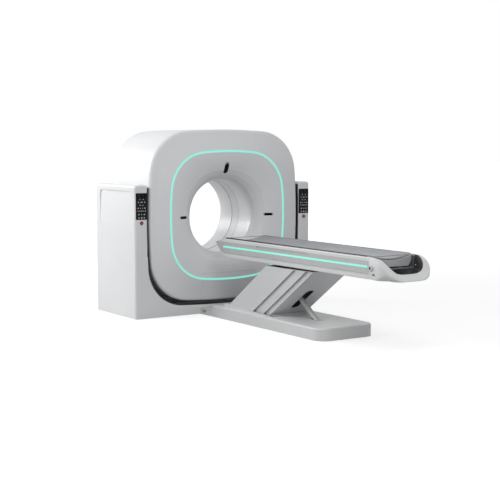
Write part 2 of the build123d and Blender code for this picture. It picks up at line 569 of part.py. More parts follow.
def tilt_motor():
    x, z = -(POST_IN + POST_OUT) / 2, ISO_Z - WHEEL_R - WORM_R - WORM_GAP
    motor = cyl("Y", 45, POST_HALF_D, POST_HALF_D + 170, x, z) - cyl("Y", 10 + RUN_FIT, POST_HALF_D - 1, POST_HALF_D + 5, x, z)
    return one(motor)


def power_unit():
    y1 = STAND_BACK - FASCIA_T - 7
    return one(box(POST_IN, POST_OUT, POST_HALF_D + POST_FLARE + 2, y1, PLATE_T, 620))


def keypad():
    return one(box(KEYPAD_X0 + SEAM, KEYPAD_X1 - SEAM, FRONT_Y - 1.5, FRONT_Y + KEYPAD_D, KEYPAD_Z0 + SEAM, KEYPAD_Z1 - SEAM))


def stop_collar():
    y1 = FRONT_Y + FASCIA_T
    collar = cyl("Y", STOP_R + 3 - SEAM / 2, FRONT_Y - 2, y1, STOP_X, STOP_Z)
    return one(collar - cyl("Y", 6 + RUN_FIT, FRONT_Y - 5, y1 + 1, STOP_X, STOP_Z))


def stop_button():
    y = FRONT_Y - 2 - STOP_TRAVEL - 0.5
    head = fillet(cyl("Y", STOP_R, y - 9, y, STOP_X, STOP_Z).edges().sort_by(Axis.Y)[0], 4)
    return one(head + cyl("Y", 6, y, FRONT_Y + FASCIA_T + 4, STOP_X, STOP_Z))


# ---- table base ------------------------------------------------------------
def base_outline(inset, z0, z1):
    """Plan of the base: square against the stand, rounded at the foot end."""
    length = FRONT_Y - SEAM - BASE_END - inset
    plan = Pos(0, FRONT_Y - SEAM - length / 2, z0) * Box(2 * (BASE_HW - inset), length, z1 - z0, align=(Align.CENTER, Align.CENTER, Align.MIN))
    corners = plan.edges().filter_by(Axis.Z).filter_by(lambda e: e.center().Y < BASE_END + inset + 1)
    return fillet(corners, BASE_R - inset)


WELL_Y0 = FRONT_PIVOT_Y + FOOT_R + 3 # well in the base that the column stands in
WELL_STEP, WELL_Y1 = -1380.0, -1525.0
RIM_END = -1475.0


def base_cover():
    """Moulded cover: a low neck at the stand, a ramp, and a sloping rim round the column."""
    cover = base_outline(0, 0, BASE_H)
    foot = cover.edges().filter_by(lambda e: e.center().Z > BASE_H - 0.5 and e.center().Y < FRONT_Y - 5)
    cover = fillet(foot, 14)
    rim = side_profile([(WELL_Y0 + 60, BASE_H - 10), (WELL_Y0 + 34, BASE_H + PLINTH_H - 6), (WELL_Y0 + 22, BASE_H + PLINTH_H),
                        (RIM_END, BASE_H + 1), (RIM_END - 6, BASE_H - 10)], -FRONT_COVER_X - 22, FRONT_COVER_X + 22)
    cover = cover + rim
    cover -= side_profile([(FRONT_Y + 1, BASE_LOW_H), (BASE_LOW_END, BASE_LOW_H), (BASE_RAMP_END, BASE_H + 60), (FRONT_Y + 1, BASE_H + 60)], -BASE_HW - 1, BASE_HW + 1)
    cover -= base_outline(BASE_T, -1, BASE_LOW_H - BASE_T)
    cover -= base_outline(BASE_T, 0, BASE_H - BASE_T) & box(-BASE_HW, BASE_HW, BASE_RAMP_END - 8, BASE_END - 10, 0, 2 * BASE_H)
    cover -= box(-FRONT_COVER_X - 6, FRONT_COVER_X + 6, WELL_Y0, WELL_STEP, BASE_H - 30, BASE_H + 100)
    cover -= box(-MID_COVER_X - 5, MID_COVER_X + 5, WELL_STEP + 1, WELL_Y1, BASE_H - 30, BASE_H + 100)
    slot = Pos(0, STRUT_Y + 36, BASE_H - 20) * extrude(SlotOverall(150, 2 * STRUT_R + 8, rotation=90), 60)
    cover -= slot
    for k in range(3):
        y = FRONT_Y - 40 - 24 * k
        cover -= box(-BASE_HW - 1, -BASE_HW + BASE_T + 1, y - 14, y, 22, 44)
    return one(cover)


def table_frame():
    """Steel bed plate, the cheeks with the lower pins, and the strut's fork with its pin."""
    frame = base_outline(BASE_T + 4, 0, BED_PLATE_T)
    top = FOOT_Z + 24
    for s in (-1, 1):
        x0, x1 = s * CHEEK_X, s * (CHEEK_X + CHEEK_T)
        frame += side_profile([(FRONT_PIVOT_Y + 60, 0), (FRONT_PIVOT_Y + 30, top), (REAR_PIVOT_Y - 26, top), (REAR_PIVOT_Y - 26, 75), (REAR_PIVOT_Y + 10, BED_PLATE_T), (REAR_PIVOT_Y + 10, 0)], x0, x1)
        frame += side_profile([(STRUT_Y - 45, 0), (STRUT_Y - 18, STRUT_Z + 18), (STRUT_Y + 18, STRUT_Z + 18), (STRUT_Y + 45, 0)], s * (STRUT_R + 2), s * (STRUT_R + 12))
    reach = CHEEK_X + CHEEK_T + 4
    for y in (FRONT_PIVOT_Y, MID_PIVOT_Y, REAR_PIVOT_Y):
        frame += cyl("X", PIN_R, -reach, reach, y, FOOT_Z)
    frame += cyl("X", STRUT_PIN_R, -STRUT_R - 14, STRUT_R + 14, STRUT_Y, STRUT_Z)
    for x, y in TABLE_ANCHORS:
        frame -= cyl("Z", TABLE_ANCHOR_R, -1, BED_PLATE_T + 1, x, y)
    return one(frame)


TABLE_ANCHOR_R = 9.0
TABLE_ANCHORS = [(x, y) for x in (58 - BASE_HW, BASE_HW - 58) for y in (BASE_RAMP_END - 60, BASE_END + 680, BASE_END + 140)]


# ---- lift linkage ----------------------------------------------------------
ALONG = (-cos(radians(LINK_ANGLE)), sin(radians(LINK_ANGLE)))   # link direction in (y, z)
ACROSS = (sin(radians(LINK_ANGLE)), cos(radians(LINK_ANGLE)))   # up and toward the gantry
LINK_L = (HEAD_Z - FOOT_Z) / sin(radians(LINK_ANGLE))
HEAD_DY = LINK_L * ALONG[0]
HEAD_Y = [y + HEAD_DY for y in (FRONT_PIVOT_Y, MID_PIVOT_Y, REAR_PIVOT_Y)]


def link_point(pivot_y, along, across):
    """Point in (y, z) from a lower pivot: along the link, and across it toward the gantry."""
    return (pivot_y + along * ALONG[0] + across * ACROSS[0], FOOT_Z + along * ALONG[1] + across * ACROSS[1])


def link_slab(pivot_y, a0, a1, c0, c1, x0, x1):
    corners = [link_point(pivot_y, a, c) for a, c in ((a0, c0), (a1, c0), (a1, c1), (a0, c1))]
    return side_profile(corners, x0, x1)


def arm(pivot_y, extra=None):
    """Ladder-shaped arm: two bars, a bored boss at each end, and tubes across."""
    half = LINK_BAR / 2
    ladder = Part()
    for s in (-1, 1):
        ladder += link_slab(pivot_y, 0, LINK_L, -half, half, s * (LINK_X - LINK_W), s * LINK_X)
    for along in (0, LINK_L):
        y, z = link_point(pivot_y, along, 0)
        ladder += cyl("X", half, -LINK_X, LINK_X, y, z)
    if extra is not None:
        ladder += extra
    for along in (0, LINK_L):
        y, z = link_point(pivot_y, along, 0)
        ladder -= cyl("X", PIN_R + RUN_FIT, -LINK_X - 1, LINK_X + 1, y, z)
    return one(ladder)


STRUT_PIN_R, STRUT_PIN_L = 12.0, 74.0    # strut's head pin, half its length
PIN_SLOT_W = 2 * STRUT_PIN_R + 18        # slot in the arm's lugs: room across the link
PIN_SLOT_TRAVEL = (-14.0, 52.0)          # and along it, from the pin at rest


def front_arm():
    """The strut pushes this arm through a pin in a pair of slotted lugs: the linkage is opened there."""
    lugs = Part()
    for s in (-1, 1):
        lugs += link_slab(FRONT_PIVOT_Y, STRUT_REACH - 70, STRUT_REACH + 110, -40, 40, s * 56, s * 70)
        lugs += link_slab(FRONT_PIVOT_Y, STRUT_REACH - 70, STRUT_REACH - 52, -25, 25, s * 56, s * LINK_X)
        lugs += link_slab(FRONT_PIVOT_Y, STRUT_REACH + 92, STRUT_REACH + 110, -25, 25, s * 56, s * LINK_X)
    low, high = PIN_SLOT_TRAVEL
    y, z = link_point(FRONT_PIVOT_Y, STRUT_REACH + (low + high) / 2, 0)
    length = high - low + PIN_SLOT_W
    plane = Plane(origin=(-80, y, z), x_dir=(0, ALONG[0], ALONG[1]), z_dir=(1, 0, 0))
    lugs -= extrude(plane * SlotOverall(length, PIN_SLOT_W), 160)
    return arm(FRONT_PIVOT_Y, lugs)


def rear_arm():
    return arm(REAR_PIVOT_Y)


def mid_links():
    """Two flat links that steer the middle cover."""
    parts = Part()
    for s in (-1, 1):
        bar = link_slab(MID_PIVOT_Y, 0, LINK_L, -14, 14, s * (LINK_X + 2), s * (MID_LINK_X + 4))
        for along in (0, LINK_L):
            y, z = link_point(MID_PIVOT_Y, along, 0)
            bar += cyl("X", 24, s * (LINK_X + 2), s * (MID_LINK_X + 4), y, z) - cyl("X", PIN_R + RUN_FIT, -300, 300, y, z)
        parts += bar - cyl("X", PIN_R + RUN_FIT, -300, 300, *link_point(MID_PIVOT_Y, 0, 0)) - cyl("X", PIN_R + RUN_FIT, -300, 300, *link_point(MID_PIVOT_Y, LINK_L, 0))
    return parts


def between_levels(part, z0=COVER_FOOT_Z, z1=COVER_HEAD_Z):
    return part & box(-2 * BASE_HW, 2 * BASE_HW, TOP_END, 0, z0, z1)


def cover_sheet(pivot_y, p0, p1, x_out):
    """Side sheet of a column cover, on the right."""
    return between_levels(link_slab(pivot_y, -200, LINK_L + 200, -p1, -p0, x_out - COVER_WALL, x_out))


def front_cover_shell():
    """Front wall and two sides; the wall's foot curls in, round the pivot, so it keeps closing the well."""
    p0, p1 = FRONT_COVER_P
    x, t = FRONT_COVER_X, COVER_WALL
    reach = between_levels(link_slab(FRONT_PIVOT_Y, 0, LINK_L + 200, -p1 - 20, -p0 + 20, -x, x) + cyl("X", FOOT_R, -x, x, FRONT_PIVOT_Y, FOOT_Z))
    hollow = link_slab(FRONT_PIVOT_Y, 0, LINK_L + 300, -p1 - 30, -p0 - t, -x + t, x - t)
    hollow += cyl("X", FOOT_R - t, -x + t, x - t, FRONT_PIVOT_Y, FOOT_Z) & link_slab(FRONT_PIVOT_Y, -300, 10, -p1 - 60, -p0 - t, -x + t, x - t)
    block = reach & link_slab(FRONT_PIVOT_Y, -300, LINK_L + 200, -p1, -p0, -x, x)
    block -= hollow
    for s in (-1, 1):
        block += link_slab(FRONT_PIVOT_Y, 420, 452, -LINK_BAR / 2, LINK_BAR / 2, s * LINK_X, s * (x - t))
    return one(block)


def mid_cover_sheets():
    p0, p1 = MID_COVER_P
    right = cover_sheet(MID_PIVOT_Y, p0, p1, MID_COVER_X)
    right += link_slab(MID_PIVOT_Y, 400, 426, -10, 10, MID_LINK_X + 4, MID_COVER_X - COVER_WALL)
    return right + mirrored(right)


def rear_cover_shell():
    """Rear wall with the strut's slot, two sides, and a lip over the well behind it."""
    p0, p1 = REAR_COVER_P
    x, t = REAR_COVER_X, COVER_WALL
    block = between_levels(link_slab(REAR_PIVOT_Y, -200, LINK_L + 200, -p1, -p0, -x, x))
    block -= link_slab(REAR_PIVOT_Y, -400, LINK_L + 400, -p1 + t, -p0 + 10, -x + t, x - t)
    along = (BASE_H + 2 - FOOT_Z + p1 * ACROSS[1]) / ALONG[1]
    y, z = link_point(REAR_PIVOT_Y, along, -p1)
    block += side_profile([(y + 6, z), (y + 2, z + 4), (y - COVER_LIP, z + 4), (y - COVER_LIP, z)], -x, x)
    y, z = link_point(REAR_PIVOT_Y, STRUT_SLOT_A, -p1)
    plane = Plane(origin=(0, y, z), x_dir=(0, ALONG[0], ALONG[1]), z_dir=(0, ACROSS[0], ACROSS[1]))
    block -= extrude(plane * SlotOverall(STRUT_SLOT_L, STRUT_SLOT_W), 20, both=True)
    for s in (-1, 1):
        block += link_slab(REAR_PIVOT_Y, 560, 592, -LINK_BAR / 2, LINK_BAR / 2, s * LINK_X, s * (x - t))
    return one(block)


STRUT_HEAD = link_point(FRONT_PIVOT_Y, STRUT_REACH, 0)
STRUT_DIR = atan2(STRUT_HEAD[1] - STRUT_Z, STRUT_HEAD[0] - STRUT_Y)
STRUT_L = hypot(STRUT_HEAD[0] - STRUT_Y, STRUT_HEAD[1] - STRUT_Z)


def strut_plane(distance):
    return Plane(origin=(0, STRUT_Y + distance * cos(STRUT_DIR), STRUT_Z + distance * sin(STRUT_DIR)), x_dir=(1, 0, 0), z_dir=(0, cos(STRUT_DIR), sin(STRUT_DIR)))


def strut_tube():
    body = extrude(strut_plane(0) * Circle(STRUT_R), STRUT_TUBE_L)
    body += cyl("X", STRUT_R + 1.5, -STRUT_R - 1, STRUT_R + 1, STRUT_Y, STRUT_Z)
    body -= extrude(strut_plane(60) * Circle(STRUT_ROD_R + RUN_FIT), STRUT_TUBE_L)
    return one(body - cyl("X", STRUT_PIN_R + RUN_FIT, -60, 60, STRUT_Y, STRUT_Z))


def strut_rod():
    """Rod that leaves the tube, with the cross pin that pushes the front arm."""
    rod = extrude(strut_plane(STRUT_L - STRUT_ROD_L) * Circle(STRUT_ROD_R), STRUT_ROD_L)
    rod += cyl("X", STRUT_R - 2, -STRUT_R, STRUT_R, *STRUT_HEAD)
    return one(rod + cyl("X", STRUT_PIN_R, -STRUT_PIN_L, STRUT_PIN_L, *STRUT_HEAD))


# ---- table top -------------------------------------------------------------
def carriage_deck():
    """Channel under the cradle, with its guide rails, and lugs down to the upper pins."""
    under = DECK_Z0 - DECK_T
    deck = box(-DECK_HW, DECK_HW, HEAD_Y[0] + 150, SCOOP_Y0, under, DECK_Z0)
    deck += box(-DECK_HW, DECK_HW, DECK_Y0, DECK_Y0 - 60, under, DECK_Z0)
    for s in (-1, 1):
        deck += box(s * DECK_HW, s * RAIL_IN, DECK_Y0, SCOOP_Y0, under, RAIL_TOP - 12)
        deck += box(s * 70, s * 100, DECK_Y0, SCOOP_Y0 + 10, DECK_Z0, CRADLE_Z0 - SEAM)
        deck += side_profile([(HEAD_Y[0] + 45, under), (HEAD_Y[0] + 24, HEAD_Z - 24), (HEAD_Y[2] - 24, HEAD_Z - 24), (HEAD_Y[2] - 45, under)], s * CHEEK_X, s * (CHEEK_X + CHEEK_T))
    reach = CHEEK_X + CHEEK_T + 4
    for y in HEAD_Y:
        deck += cyl("X", PIN_R, -reach, reach, y, HEAD_Z)
    return one(deck - ahead_of_tip(SEAM))


def brow(y):
    """Height of the slope over the tip."""
    return TIP_Z + (TIP_Y - y) * (RAIL_TOP - TIP_Z) / (TIP_Y - BROW_Y)


def ahead_of_tip(inward=0.0):
    """Everything over the brow and ahead of the slanted front end."""
    slope = (TIP_Y - CHIN_Y) / (TIP_Z - CHIN_Z)
    return side_profile([(BROW_Y, 900), (BROW_Y, RAIL_TOP - inward), (TIP_Y, TIP_Z - inward), (CHIN_Y, CHIN_Z), (CHIN_Y - slope * (CHIN_Z - 560), 560), (0, 560), (0, 900)], -400, 400)


def side_rail():
    """Right rail: bright top edge, long hand recess, light channel, dark groove and lower lip."""
    x = RAIL_X
    top = RAIL_TOP - 12 + SEAM
    section = [(RAIL_IN, RAIL_Z0), (x - 3, RAIL_Z0), (x, RAIL_Z0 + 6), (x, RAIL_TOP - 8), (x - 5, RAIL_TOP), (CRADLE_HW + 6, RAIL_TOP), (CRADLE_HW + 6, top), (RAIL_IN, top)]
    rail = front_profile(section, SCOOP_Y0, TIP_Y)
    rail -= box(x - GROOVE_D, x + 1, LIGHT_Y0 - 8, SCOOP_Y0 - 1, GROOVE_Z0, GROOVE_Z1)
    rail -= box(x - LIGHT_T, x + 1, LIGHT_Y0, LIGHT_Y1, LIGHT_Z - LIGHT_H / 2, LIGHT_Z + LIGHT_H / 2)
    rail -= box(x - 7, x + 1, GRIP_Y0, GRIP_Y1, GRIP_Z0, GRIP_Z1)
    return one(rail - ahead_of_tip())


def light_strip():
    return one(box(RAIL_X - LIGHT_T, RAIL_X + 1, LIGHT_Y0 - SEAM, LIGHT_Y1 + SEAM, LIGHT_Z - LIGHT_H / 2 + SEAM, LIGHT_Z + LIGHT_H / 2 - SEAM))


def knob():
    body = cyl("X", KNOB_R, RAIL_X + 0.5, RAIL_X + 12, KNOB_Y, KNOB_Z)
    body = fillet(body.edges().sort_by(Axis.X)[-1], 3) - cyl("X", 7, RAIL_X + 8, RAIL_X + 13, KNOB_Y, KNOB_Z)
    return one(body + cyl("X", KNOB_SHAFT_R, RAIL_X - 40, RAIL_X + 1, KNOB_Y, KNOB_Z))


def front_cap():
    """Nose between the rails, hollow behind its slanted face."""
    t, back = 6.0, TIP_Y - 68
    nose = side_profile([(TIP_Y, TIP_Z), (CHIN_Y, CHIN_Z), (CHIN_Y - 14, RAIL_Z0), (CHIN_Y - 320, RAIL_Z0), (CHIN_Y - 320, RAIL_Z0 + t),
                         (CHIN_Y - 18, RAIL_Z0 + t), (CHIN_Y - t - 3, CHIN_Z + 4), (TIP_Y - 2 * t, TIP_Z - t / 2), (back, brow(back) - t), (back, brow(back))], -RAIL_IN, RAIL_IN)
    return one(nose - front_profile(cradle_section(CRADLE_GAP), TIP_Y - 100, TIP_Y + 1))


def scoop_plan(inset, z0, z1):
    """Plan of the foot end: straight sides and rounded corners."""
    length = SCOOP_Y0 - TOP_END - inset
    with BuildSketch(Plane.XY.offset(z0)) as plan:
        with Locations((0, SCOOP_Y0 + 40 - (length + 40) / 2)):
            Rectangle(2 * (RAIL_X - inset), length + 40)
        fillet(plan.vertices().group_by(Axis.Y)[0], SCOOP_R - inset)
    return extrude(plan.sketch, z1 - z0) & box(-400, 400, SCOOP_Y0, TOP_END - 5, z0, z1)


def s_wall(x, foot, drop=0.0, back=60.0):
    """Wire in the plane x: the wall's outline, that runs on from the rail's height and falls to the lip's bevel."""
    y1, z1 = foot[0], RAIL_Z0 + foot[1] - drop
    top, edge = RAIL_TOP - drop, RAIL_Z0 + LIP_EDGE - drop
    curve = Edge.make_bezier(Vector(x, SCOOP_Y0, top), Vector(x, SCOOP_Y0 - SCOOP_HOLD, top), Vector(x, y1 + 12, z1 + SCOOP_LAND), Vector(x, y1, z1))
    corners = [(y1, z1), (LIP_END, edge), (TOP_END - back, edge), (TOP_END - back, RAIL_Z0 - 20), (SCOOP_Y0, RAIL_Z0 - 20), (SCOOP_Y0, top)]
    lines = [Edge.make_line(Vector(x, *a), Vector(x, *b)) for a, b in zip(corners, corners[1:])]
    return Wire([curve] + lines)


def foot_scoop():
    """Bright band that ends the table top: it falls in a full curve from the rails to a low bevelled lip at the foot."""
    ring = scoop_plan(0, RAIL_Z0, RAIL_TOP) - scoop_plan(SCOOP_WALL, RAIL_Z0 + 12, RAIL_TOP + 5)
    inner = RAIL_X - SCOOP_WALL
    sides = Solid.make_loft([s_wall(RAIL_X, SCOOP_OUT), s_wall(inner, SCOOP_IN)], ruled=True)
    foot = Solid.make_loft([s_wall(-inner, SCOOP_IN), s_wall(inner, SCOOP_IN)], ruled=True)
    scoop = (ring & sides) + (ring & mirrored(sides)) + (ring & foot)
    for s in (-1, 1):
        scoop -= cyl("X", KNOB_SHAFT_R + RUN_FIT, s * (RAIL_X - 45), s * (RAIL_X + 1), KNOB_Y, KNOB_Z)
    return one(scoop)


def foot_liner():
    """Dark lining inside the scoop."""
    z0 = RAIL_Z0 + 12 + SEAM
    lining = scoop_plan(SCOOP_WALL + SEAM, z0, RAIL_TOP) - scoop_plan(SCOOP_WALL + SEAM + LINER_T, z0 + LINER_T, RAIL_TOP + 5)
    edge = Solid.make_loft([s_wall(-RAIL_X, SCOOP_IN, 6), s_wall(RAIL_X, SCOOP_IN, 6)], ruled=True)
    return one(lining & edge)


def underside_pan():
    y0, y1 = HEAD_Y[2] - 160, SCOOP_Y0 + SEAM
    pan = box(-RAIL_IN, RAIL_IN, y0, y1, RAIL_Z0, RAIL_Z0 + 6)
    pan += box(-RAIL_IN, RAIL_IN, y0, y0 - 6, RAIL_Z0, DECK_Z0 - DECK_T)
    return one(pan)


def cradle_motor():
    y = HEAD_Y[2] - 380
    return one(box(-60, 60, y, y - 190, DECK_Z0 - DECK_T - 54, DECK_Z0 - DECK_T))


def dish(top, dip, hw):
    """Points of the shallow trough from side to side, given as (x, z)."""
    return [(hw * k / 6, top - dip * (1 - (k / 6) ** 2)) for k in range(-6, 7)]


def cradle_section(grow=0.0):
    """The cradle's outline below its top; grown, it is the room that the cradle slides in."""
    hw, keel, low, top = CRADLE_HW + grow, KEEL_HW + grow / 2, CRADLE_Z0 - grow, CRADLE_TOP - 2
    side = [(hw, top - 6), (keel + 10, low + 4), (keel, low)]
    over = [(hw, 2 * top)] if grow else [(hw, top)]
    right = over + side
    return right + [(-x, z) for x, z in right[::-1]]


def rounded_ends(part, hw, y0, y1, r0, r1):
    """Round the plan corners of a long piece: r0 at its head end, r1 at its foot end."""
    plan = box(-hw, hw, y1, y0, CRADLE_Z0 - 50, CRADLE_TOP + 50)
    for y, r in ((y0, r0), (y1, r1)):
        plan = fillet(plan.edges().filter_by(Axis.Z).filter_by(lambda e: abs(e.center().Y - y) < 1), r)
    return part & plan


def cradle():
    """Long shallow trough with a flat keel."""
    trough = front_profile(dish(CRADLE_TOP - 2, CRADLE_DIP, CRADLE_HW - 6), CRADLE_Y1 - 1, CRADLE_Y0 + 1)
    body = front_profile(cradle_section(), CRADLE_Y1, CRADLE_Y0) - trough
    return one(rounded_ends(body, CRADLE_HW, CRADLE_Y0, CRADLE_Y1, CRADLE_HEAD_R, CRADLE_FOOT_R))


def mattress():
    under = dish(CRADLE_TOP - 2 + SEAM, CRADLE_DIP, CRADLE_HW - 6)
    over = [(x, z + PAD_T) for x, z in under]
    pad = front_profile(under + over[::-1], PAD_Y1, PAD_Y0)
    return one(rounded_ends(pad, CRADLE_HW - 6, PAD_Y0, PAD_Y1, CRADLE_HEAD_R, CRADLE_FOOT_R))


def build():
    front, funnel, panel, windows = front_covers()
    rear, rear_funnel = rear_covers()
    tower, inner, pad = tower_cover(), inner_panel(), keypad()
    rail, strip, turn = side_rail(), light_strip(), knob()
    collar, button = stop_collar(), stop_button()
    return {
        # stand
        "stand_frame": stand_frame(),
        "anchor_bolts": anchor_bolts(),
        "front_fascia": front_fascia(),
        "rear_fascia": rear_fascia(),
        "tower_covers": group(tower, mirrored(tower)),
        "gap_strips": group(gap_strip(FRONT_Y + STRIP_SET), gap_strip(STAND_BACK - STRIP_SET - STRIP_D)),
        "inner_panels": group(inner, mirrored(inner)),
        "tilt_bearings": tilt_bearings(),
        "tilt_motor": tilt_motor(),
        "tilt_worm": tilt_worm(),
        "power_unit": power_unit(),
        "keypads": group(pad, mirrored(pad)),
        "stop_collars": group(collar, mirrored(collar)),
        "right_stop_button": button,
        "left_stop_button": mirrored(button),
        # tilting gantry
        "gantry_frame": gantry_frame(),
        "trunnions": trunnions(),
        "front_cover": front,
        "front_funnel": funnel,
        "lower_service_panel": panel,
        "light_ring": light_ring(),
        "gantry_windows": windows,
        "body_wrap": body_wrap(),
        "rear_cover": rear,
        "rear_funnel": rear_funnel,
        "scan_window": scan_window(),
        "window_seals": window_seals(),
        "air_bearing": air_bearing(),
        "brush_block": brush_block(),
        "drive_motor": drive_motor(),
        "drive_pulley": drive_pulley(),
        "drive_belt": drive_belt(),
        # rotor
        "rotor_drum": rotor_drum(),
        "slip_ring": slip_ring(),
        "xray_tube": xray_tube(),
        "collimator": collimator(),
        "detector_arc": detector_arc(),
        "rotor_modules": rotor_modules(),
        # table
        "table_frame": table_frame(),
        "base_cover": base_cover(),
        "front_arm": front_arm(),
        "rear_arm": rear_arm(),
        "mid_links": mid_links(),
        "column_front_cover": front_cover_shell(),
        "column_mid_cover": mid_cover_sheets(),
        "column_rear_cover": rear_cover_shell(),
        "strut_tube": strut_tube(),
        "strut_rod": strut_rod(),
        "carriage_deck": carriage_deck(),
        "side_rails": group(rail, mirrored(rail)),
        "rail_lights": group(strip, mirrored(strip)),
        "right_knob": turn,
        "left_knob": mirrored(turn),
        "front_cap": front_cap(),
        "foot_scoop": foot_scoop(),
        "foot_liner": foot_liner(),
        "underside_pan": underside_pan(),
        "cradle_motor": cradle_motor(),
        "cradle": cradle(),
        "mattress": mattress(),
    }


def rotor_modules():
    """Boxes on the drum: generator, heat exchanger, electronics and balance weight."""
    boxes = [(430, 690, -100, -20, 255), (-690, -430, -90, 20, 280), (-640, -430, -80, -330, -60), (480, 640, -60, -300, -110), (-150, 150, -80, -690, -520)]
    return group(*[box(x0, x1, y0, DRUM_Y0, ISO_Z + z0, ISO_Z + z1) for x0, x1, y0, z0, z1 in boxes])


def main():
    os.makedirs("parts", exist_ok=True)
    for name, shape in build().items():
        export_step(shape, f"parts/{name}.step")


if __name__ == "__main__":
    main()
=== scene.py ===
from functools import partial, wraps
from math import cos, hypot, pi, radians, sin, sqrt

import bmesh
import bpy
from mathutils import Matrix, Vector
from mathutils.bvhtree import BVHTree
from bpy.props import FloatProperty, FloatVectorProperty, PointerProperty


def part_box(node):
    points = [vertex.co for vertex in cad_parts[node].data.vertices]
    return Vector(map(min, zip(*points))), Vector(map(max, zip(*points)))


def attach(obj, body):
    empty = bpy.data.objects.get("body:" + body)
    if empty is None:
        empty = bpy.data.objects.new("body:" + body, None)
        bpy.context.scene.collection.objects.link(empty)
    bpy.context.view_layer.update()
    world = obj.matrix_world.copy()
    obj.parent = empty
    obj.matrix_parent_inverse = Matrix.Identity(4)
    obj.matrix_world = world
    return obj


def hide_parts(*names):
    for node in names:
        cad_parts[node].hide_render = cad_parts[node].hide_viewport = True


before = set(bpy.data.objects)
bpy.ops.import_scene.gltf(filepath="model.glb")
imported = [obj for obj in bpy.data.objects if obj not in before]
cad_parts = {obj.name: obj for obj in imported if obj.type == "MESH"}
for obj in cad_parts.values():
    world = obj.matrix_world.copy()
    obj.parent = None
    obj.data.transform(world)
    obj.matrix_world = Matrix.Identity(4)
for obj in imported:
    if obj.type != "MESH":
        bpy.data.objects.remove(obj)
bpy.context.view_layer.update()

bl_info = {
    "name": "CT scanner dressing",
    "version": (1, 0, 0),
    "blender": (4, 5, 0),
    "location": "3D View > Sidebar > Scanner",
    "description": "Finishes, control panels, table pad and studio for the CT scanner's packed frame",
    "category": "Object",
}

# The photograph's camera: place, degrees to the right of +y, degrees up, lens and sensor
CAMERA_AT = (-5.98365, -9.80544, 1.6512)
CAMERA_YAW, CAMERA_PITCH = 33.66, -5.38
CAMERA_LENS, CAMERA_SENSOR = 82.65, 36.0

# Soft boxes: place, what each is aimed at, size and power
SOFT_BOXES = {
    "left_box": ((-4.6, 0.9, 3.1), (-0.9, -0.1, 1.0), 2.6, 102.0),
    "top_box": ((-1.2, -3.6, 4.6), (0.0, -0.8, 1.0), 3.0, 70.0),
    "back_box": ((-4.0, 6.0, 3.2), (0.3, 0.2, 0.9), 3.0, 260.0),
    "front_box": ((-2.5, -8.0, 2.4), (0.0, -0.6, 0.7), 4.0, 70.0),
}
ROOM_TINT, ROOM_LIGHT = (0.99, 0.995, 1.0, 1.0), 0.40
WHITE = (1.0, 1.0, 1.0, 1.0)

# The floor glows white to the camera, from a first level near the scanner to a second far from it
FLOOR_HALF, FLOOR_DROP = 60, 0.0005
FLOOR_LOW, FLOOR_HIGH = (0.39, 0.39, 0.39, 1.0), (0.41, 0.41, 0.41, 1.0)
GLOW_FROM, GLOW_TO = (3.0, 0.68), (11.0, 0.90)

# Heights that the rails' grey inlay lies between, and how softly it ends
INLAY_LOW, INLAY_HIGH, INLAY_EDGE = 0.6205, 0.7215, 0.001
STITCH_PITCH, STITCH_IN = 0.007, 0.014

COVERS = ("front_cover", "front_funnel", "lower_service_panel", "body_wrap", "rear_cover", "rear_funnel")

# Section of a bezel: how far out as a share of its width, and its rise
BEZEL = ((-0.3, -0.0008), (-0.3, 0.0004), (0.0, 0.001), (0.8, 0.001), (1.0, 0.0004), (1.0, -0.0008))
BEZEL_STEP, SIDE_BEZEL = 0.004, 0.65

# Runs round the foot end's plan: where its edges start to fall, how far the outer and the inner one do so,
# where the band's belly starts and how far it grows, and how far the band widens
FALL_START, OUTER_FALL, INNER_FALL = 0.015, 0.33, 0.36
BELLY_START, BELLY_RUN, WIDEN_RUN = 0.06, 0.15, 0.14

# What the lip's outer and inner edges keep over the underside
OUTER_LIP, INNER_LIP = 0.012, 0.049

# The near-black sheet inside the foot end, which paints the shade of its hollow: its gap to the band,
# its floor over the underside, its wall, the steps that run round it and the first point of its section's
# upper side
SHADE_SHEET_GAP, SHADE_SHEET_FLOOR, SHADE_SHEET_WALL, SHADE_SHEET_STEP = 0.0008, 0.0128, 0.003, 0.010
SHADE_SHEET_FOOT = 10

# Bars of each seven-segment character
SEGMENTS = {
    "0": "abcdef", "1": "bc", "2": "abged", "3": "abgcd", "4": "fgbc", "5": "afgcd",
    "6": "afgedc", "7": "abc", "8": "abcdefg", "9": "abcdfg", "-": "g",
}

# Numbers in the panels' displays: text, and its first character's place from the panel's top middle
READINGS = (
    ("00.0", -0.036, -0.0265), ("760", 0.006, -0.0265),
    ("1200", -0.036, -0.0405), ("-15", 0.012, -0.0405),
)
READING_HEIGHT, DISPLAY_DROP, DISPLAY_HEIGHT = 0.0075, 0.0295, 0.036

# Keys, row by row: place below the panel's top, key size, key pitch, and the mark of each key
KEY_ROWS = (
    (0.0590, (0.017, 0.011), 0.036, ("dot", "dot")),
    (0.0850, (0.024, 0.017), 0.032, ("up", "bar", "down")),
    (0.1120, (0.024, 0.017), 0.030, ("left", "right")),
    (0.1395, (0.018, 0.014), 0.0235, ("square", "up", "down", "square")),
    (0.1655, (0.015, 0.013), 0.0190, ("stick", "bar", "bar", "bar", "stick")),
    (0.1985, (0.020, 0.016), 0.028, ("dot", "right", "dot")),
    (0.2295, (0.020, 0.016), 0.028, ("dot", "square", "dot")),
)

# Rear cover screws: how many, and the half width, middle's height and half height of their oval
REAR_SCREWS, OVAL_X, OVAL_MIDDLE, OVAL_Z = 12, 0.735, 0.946, 0.715

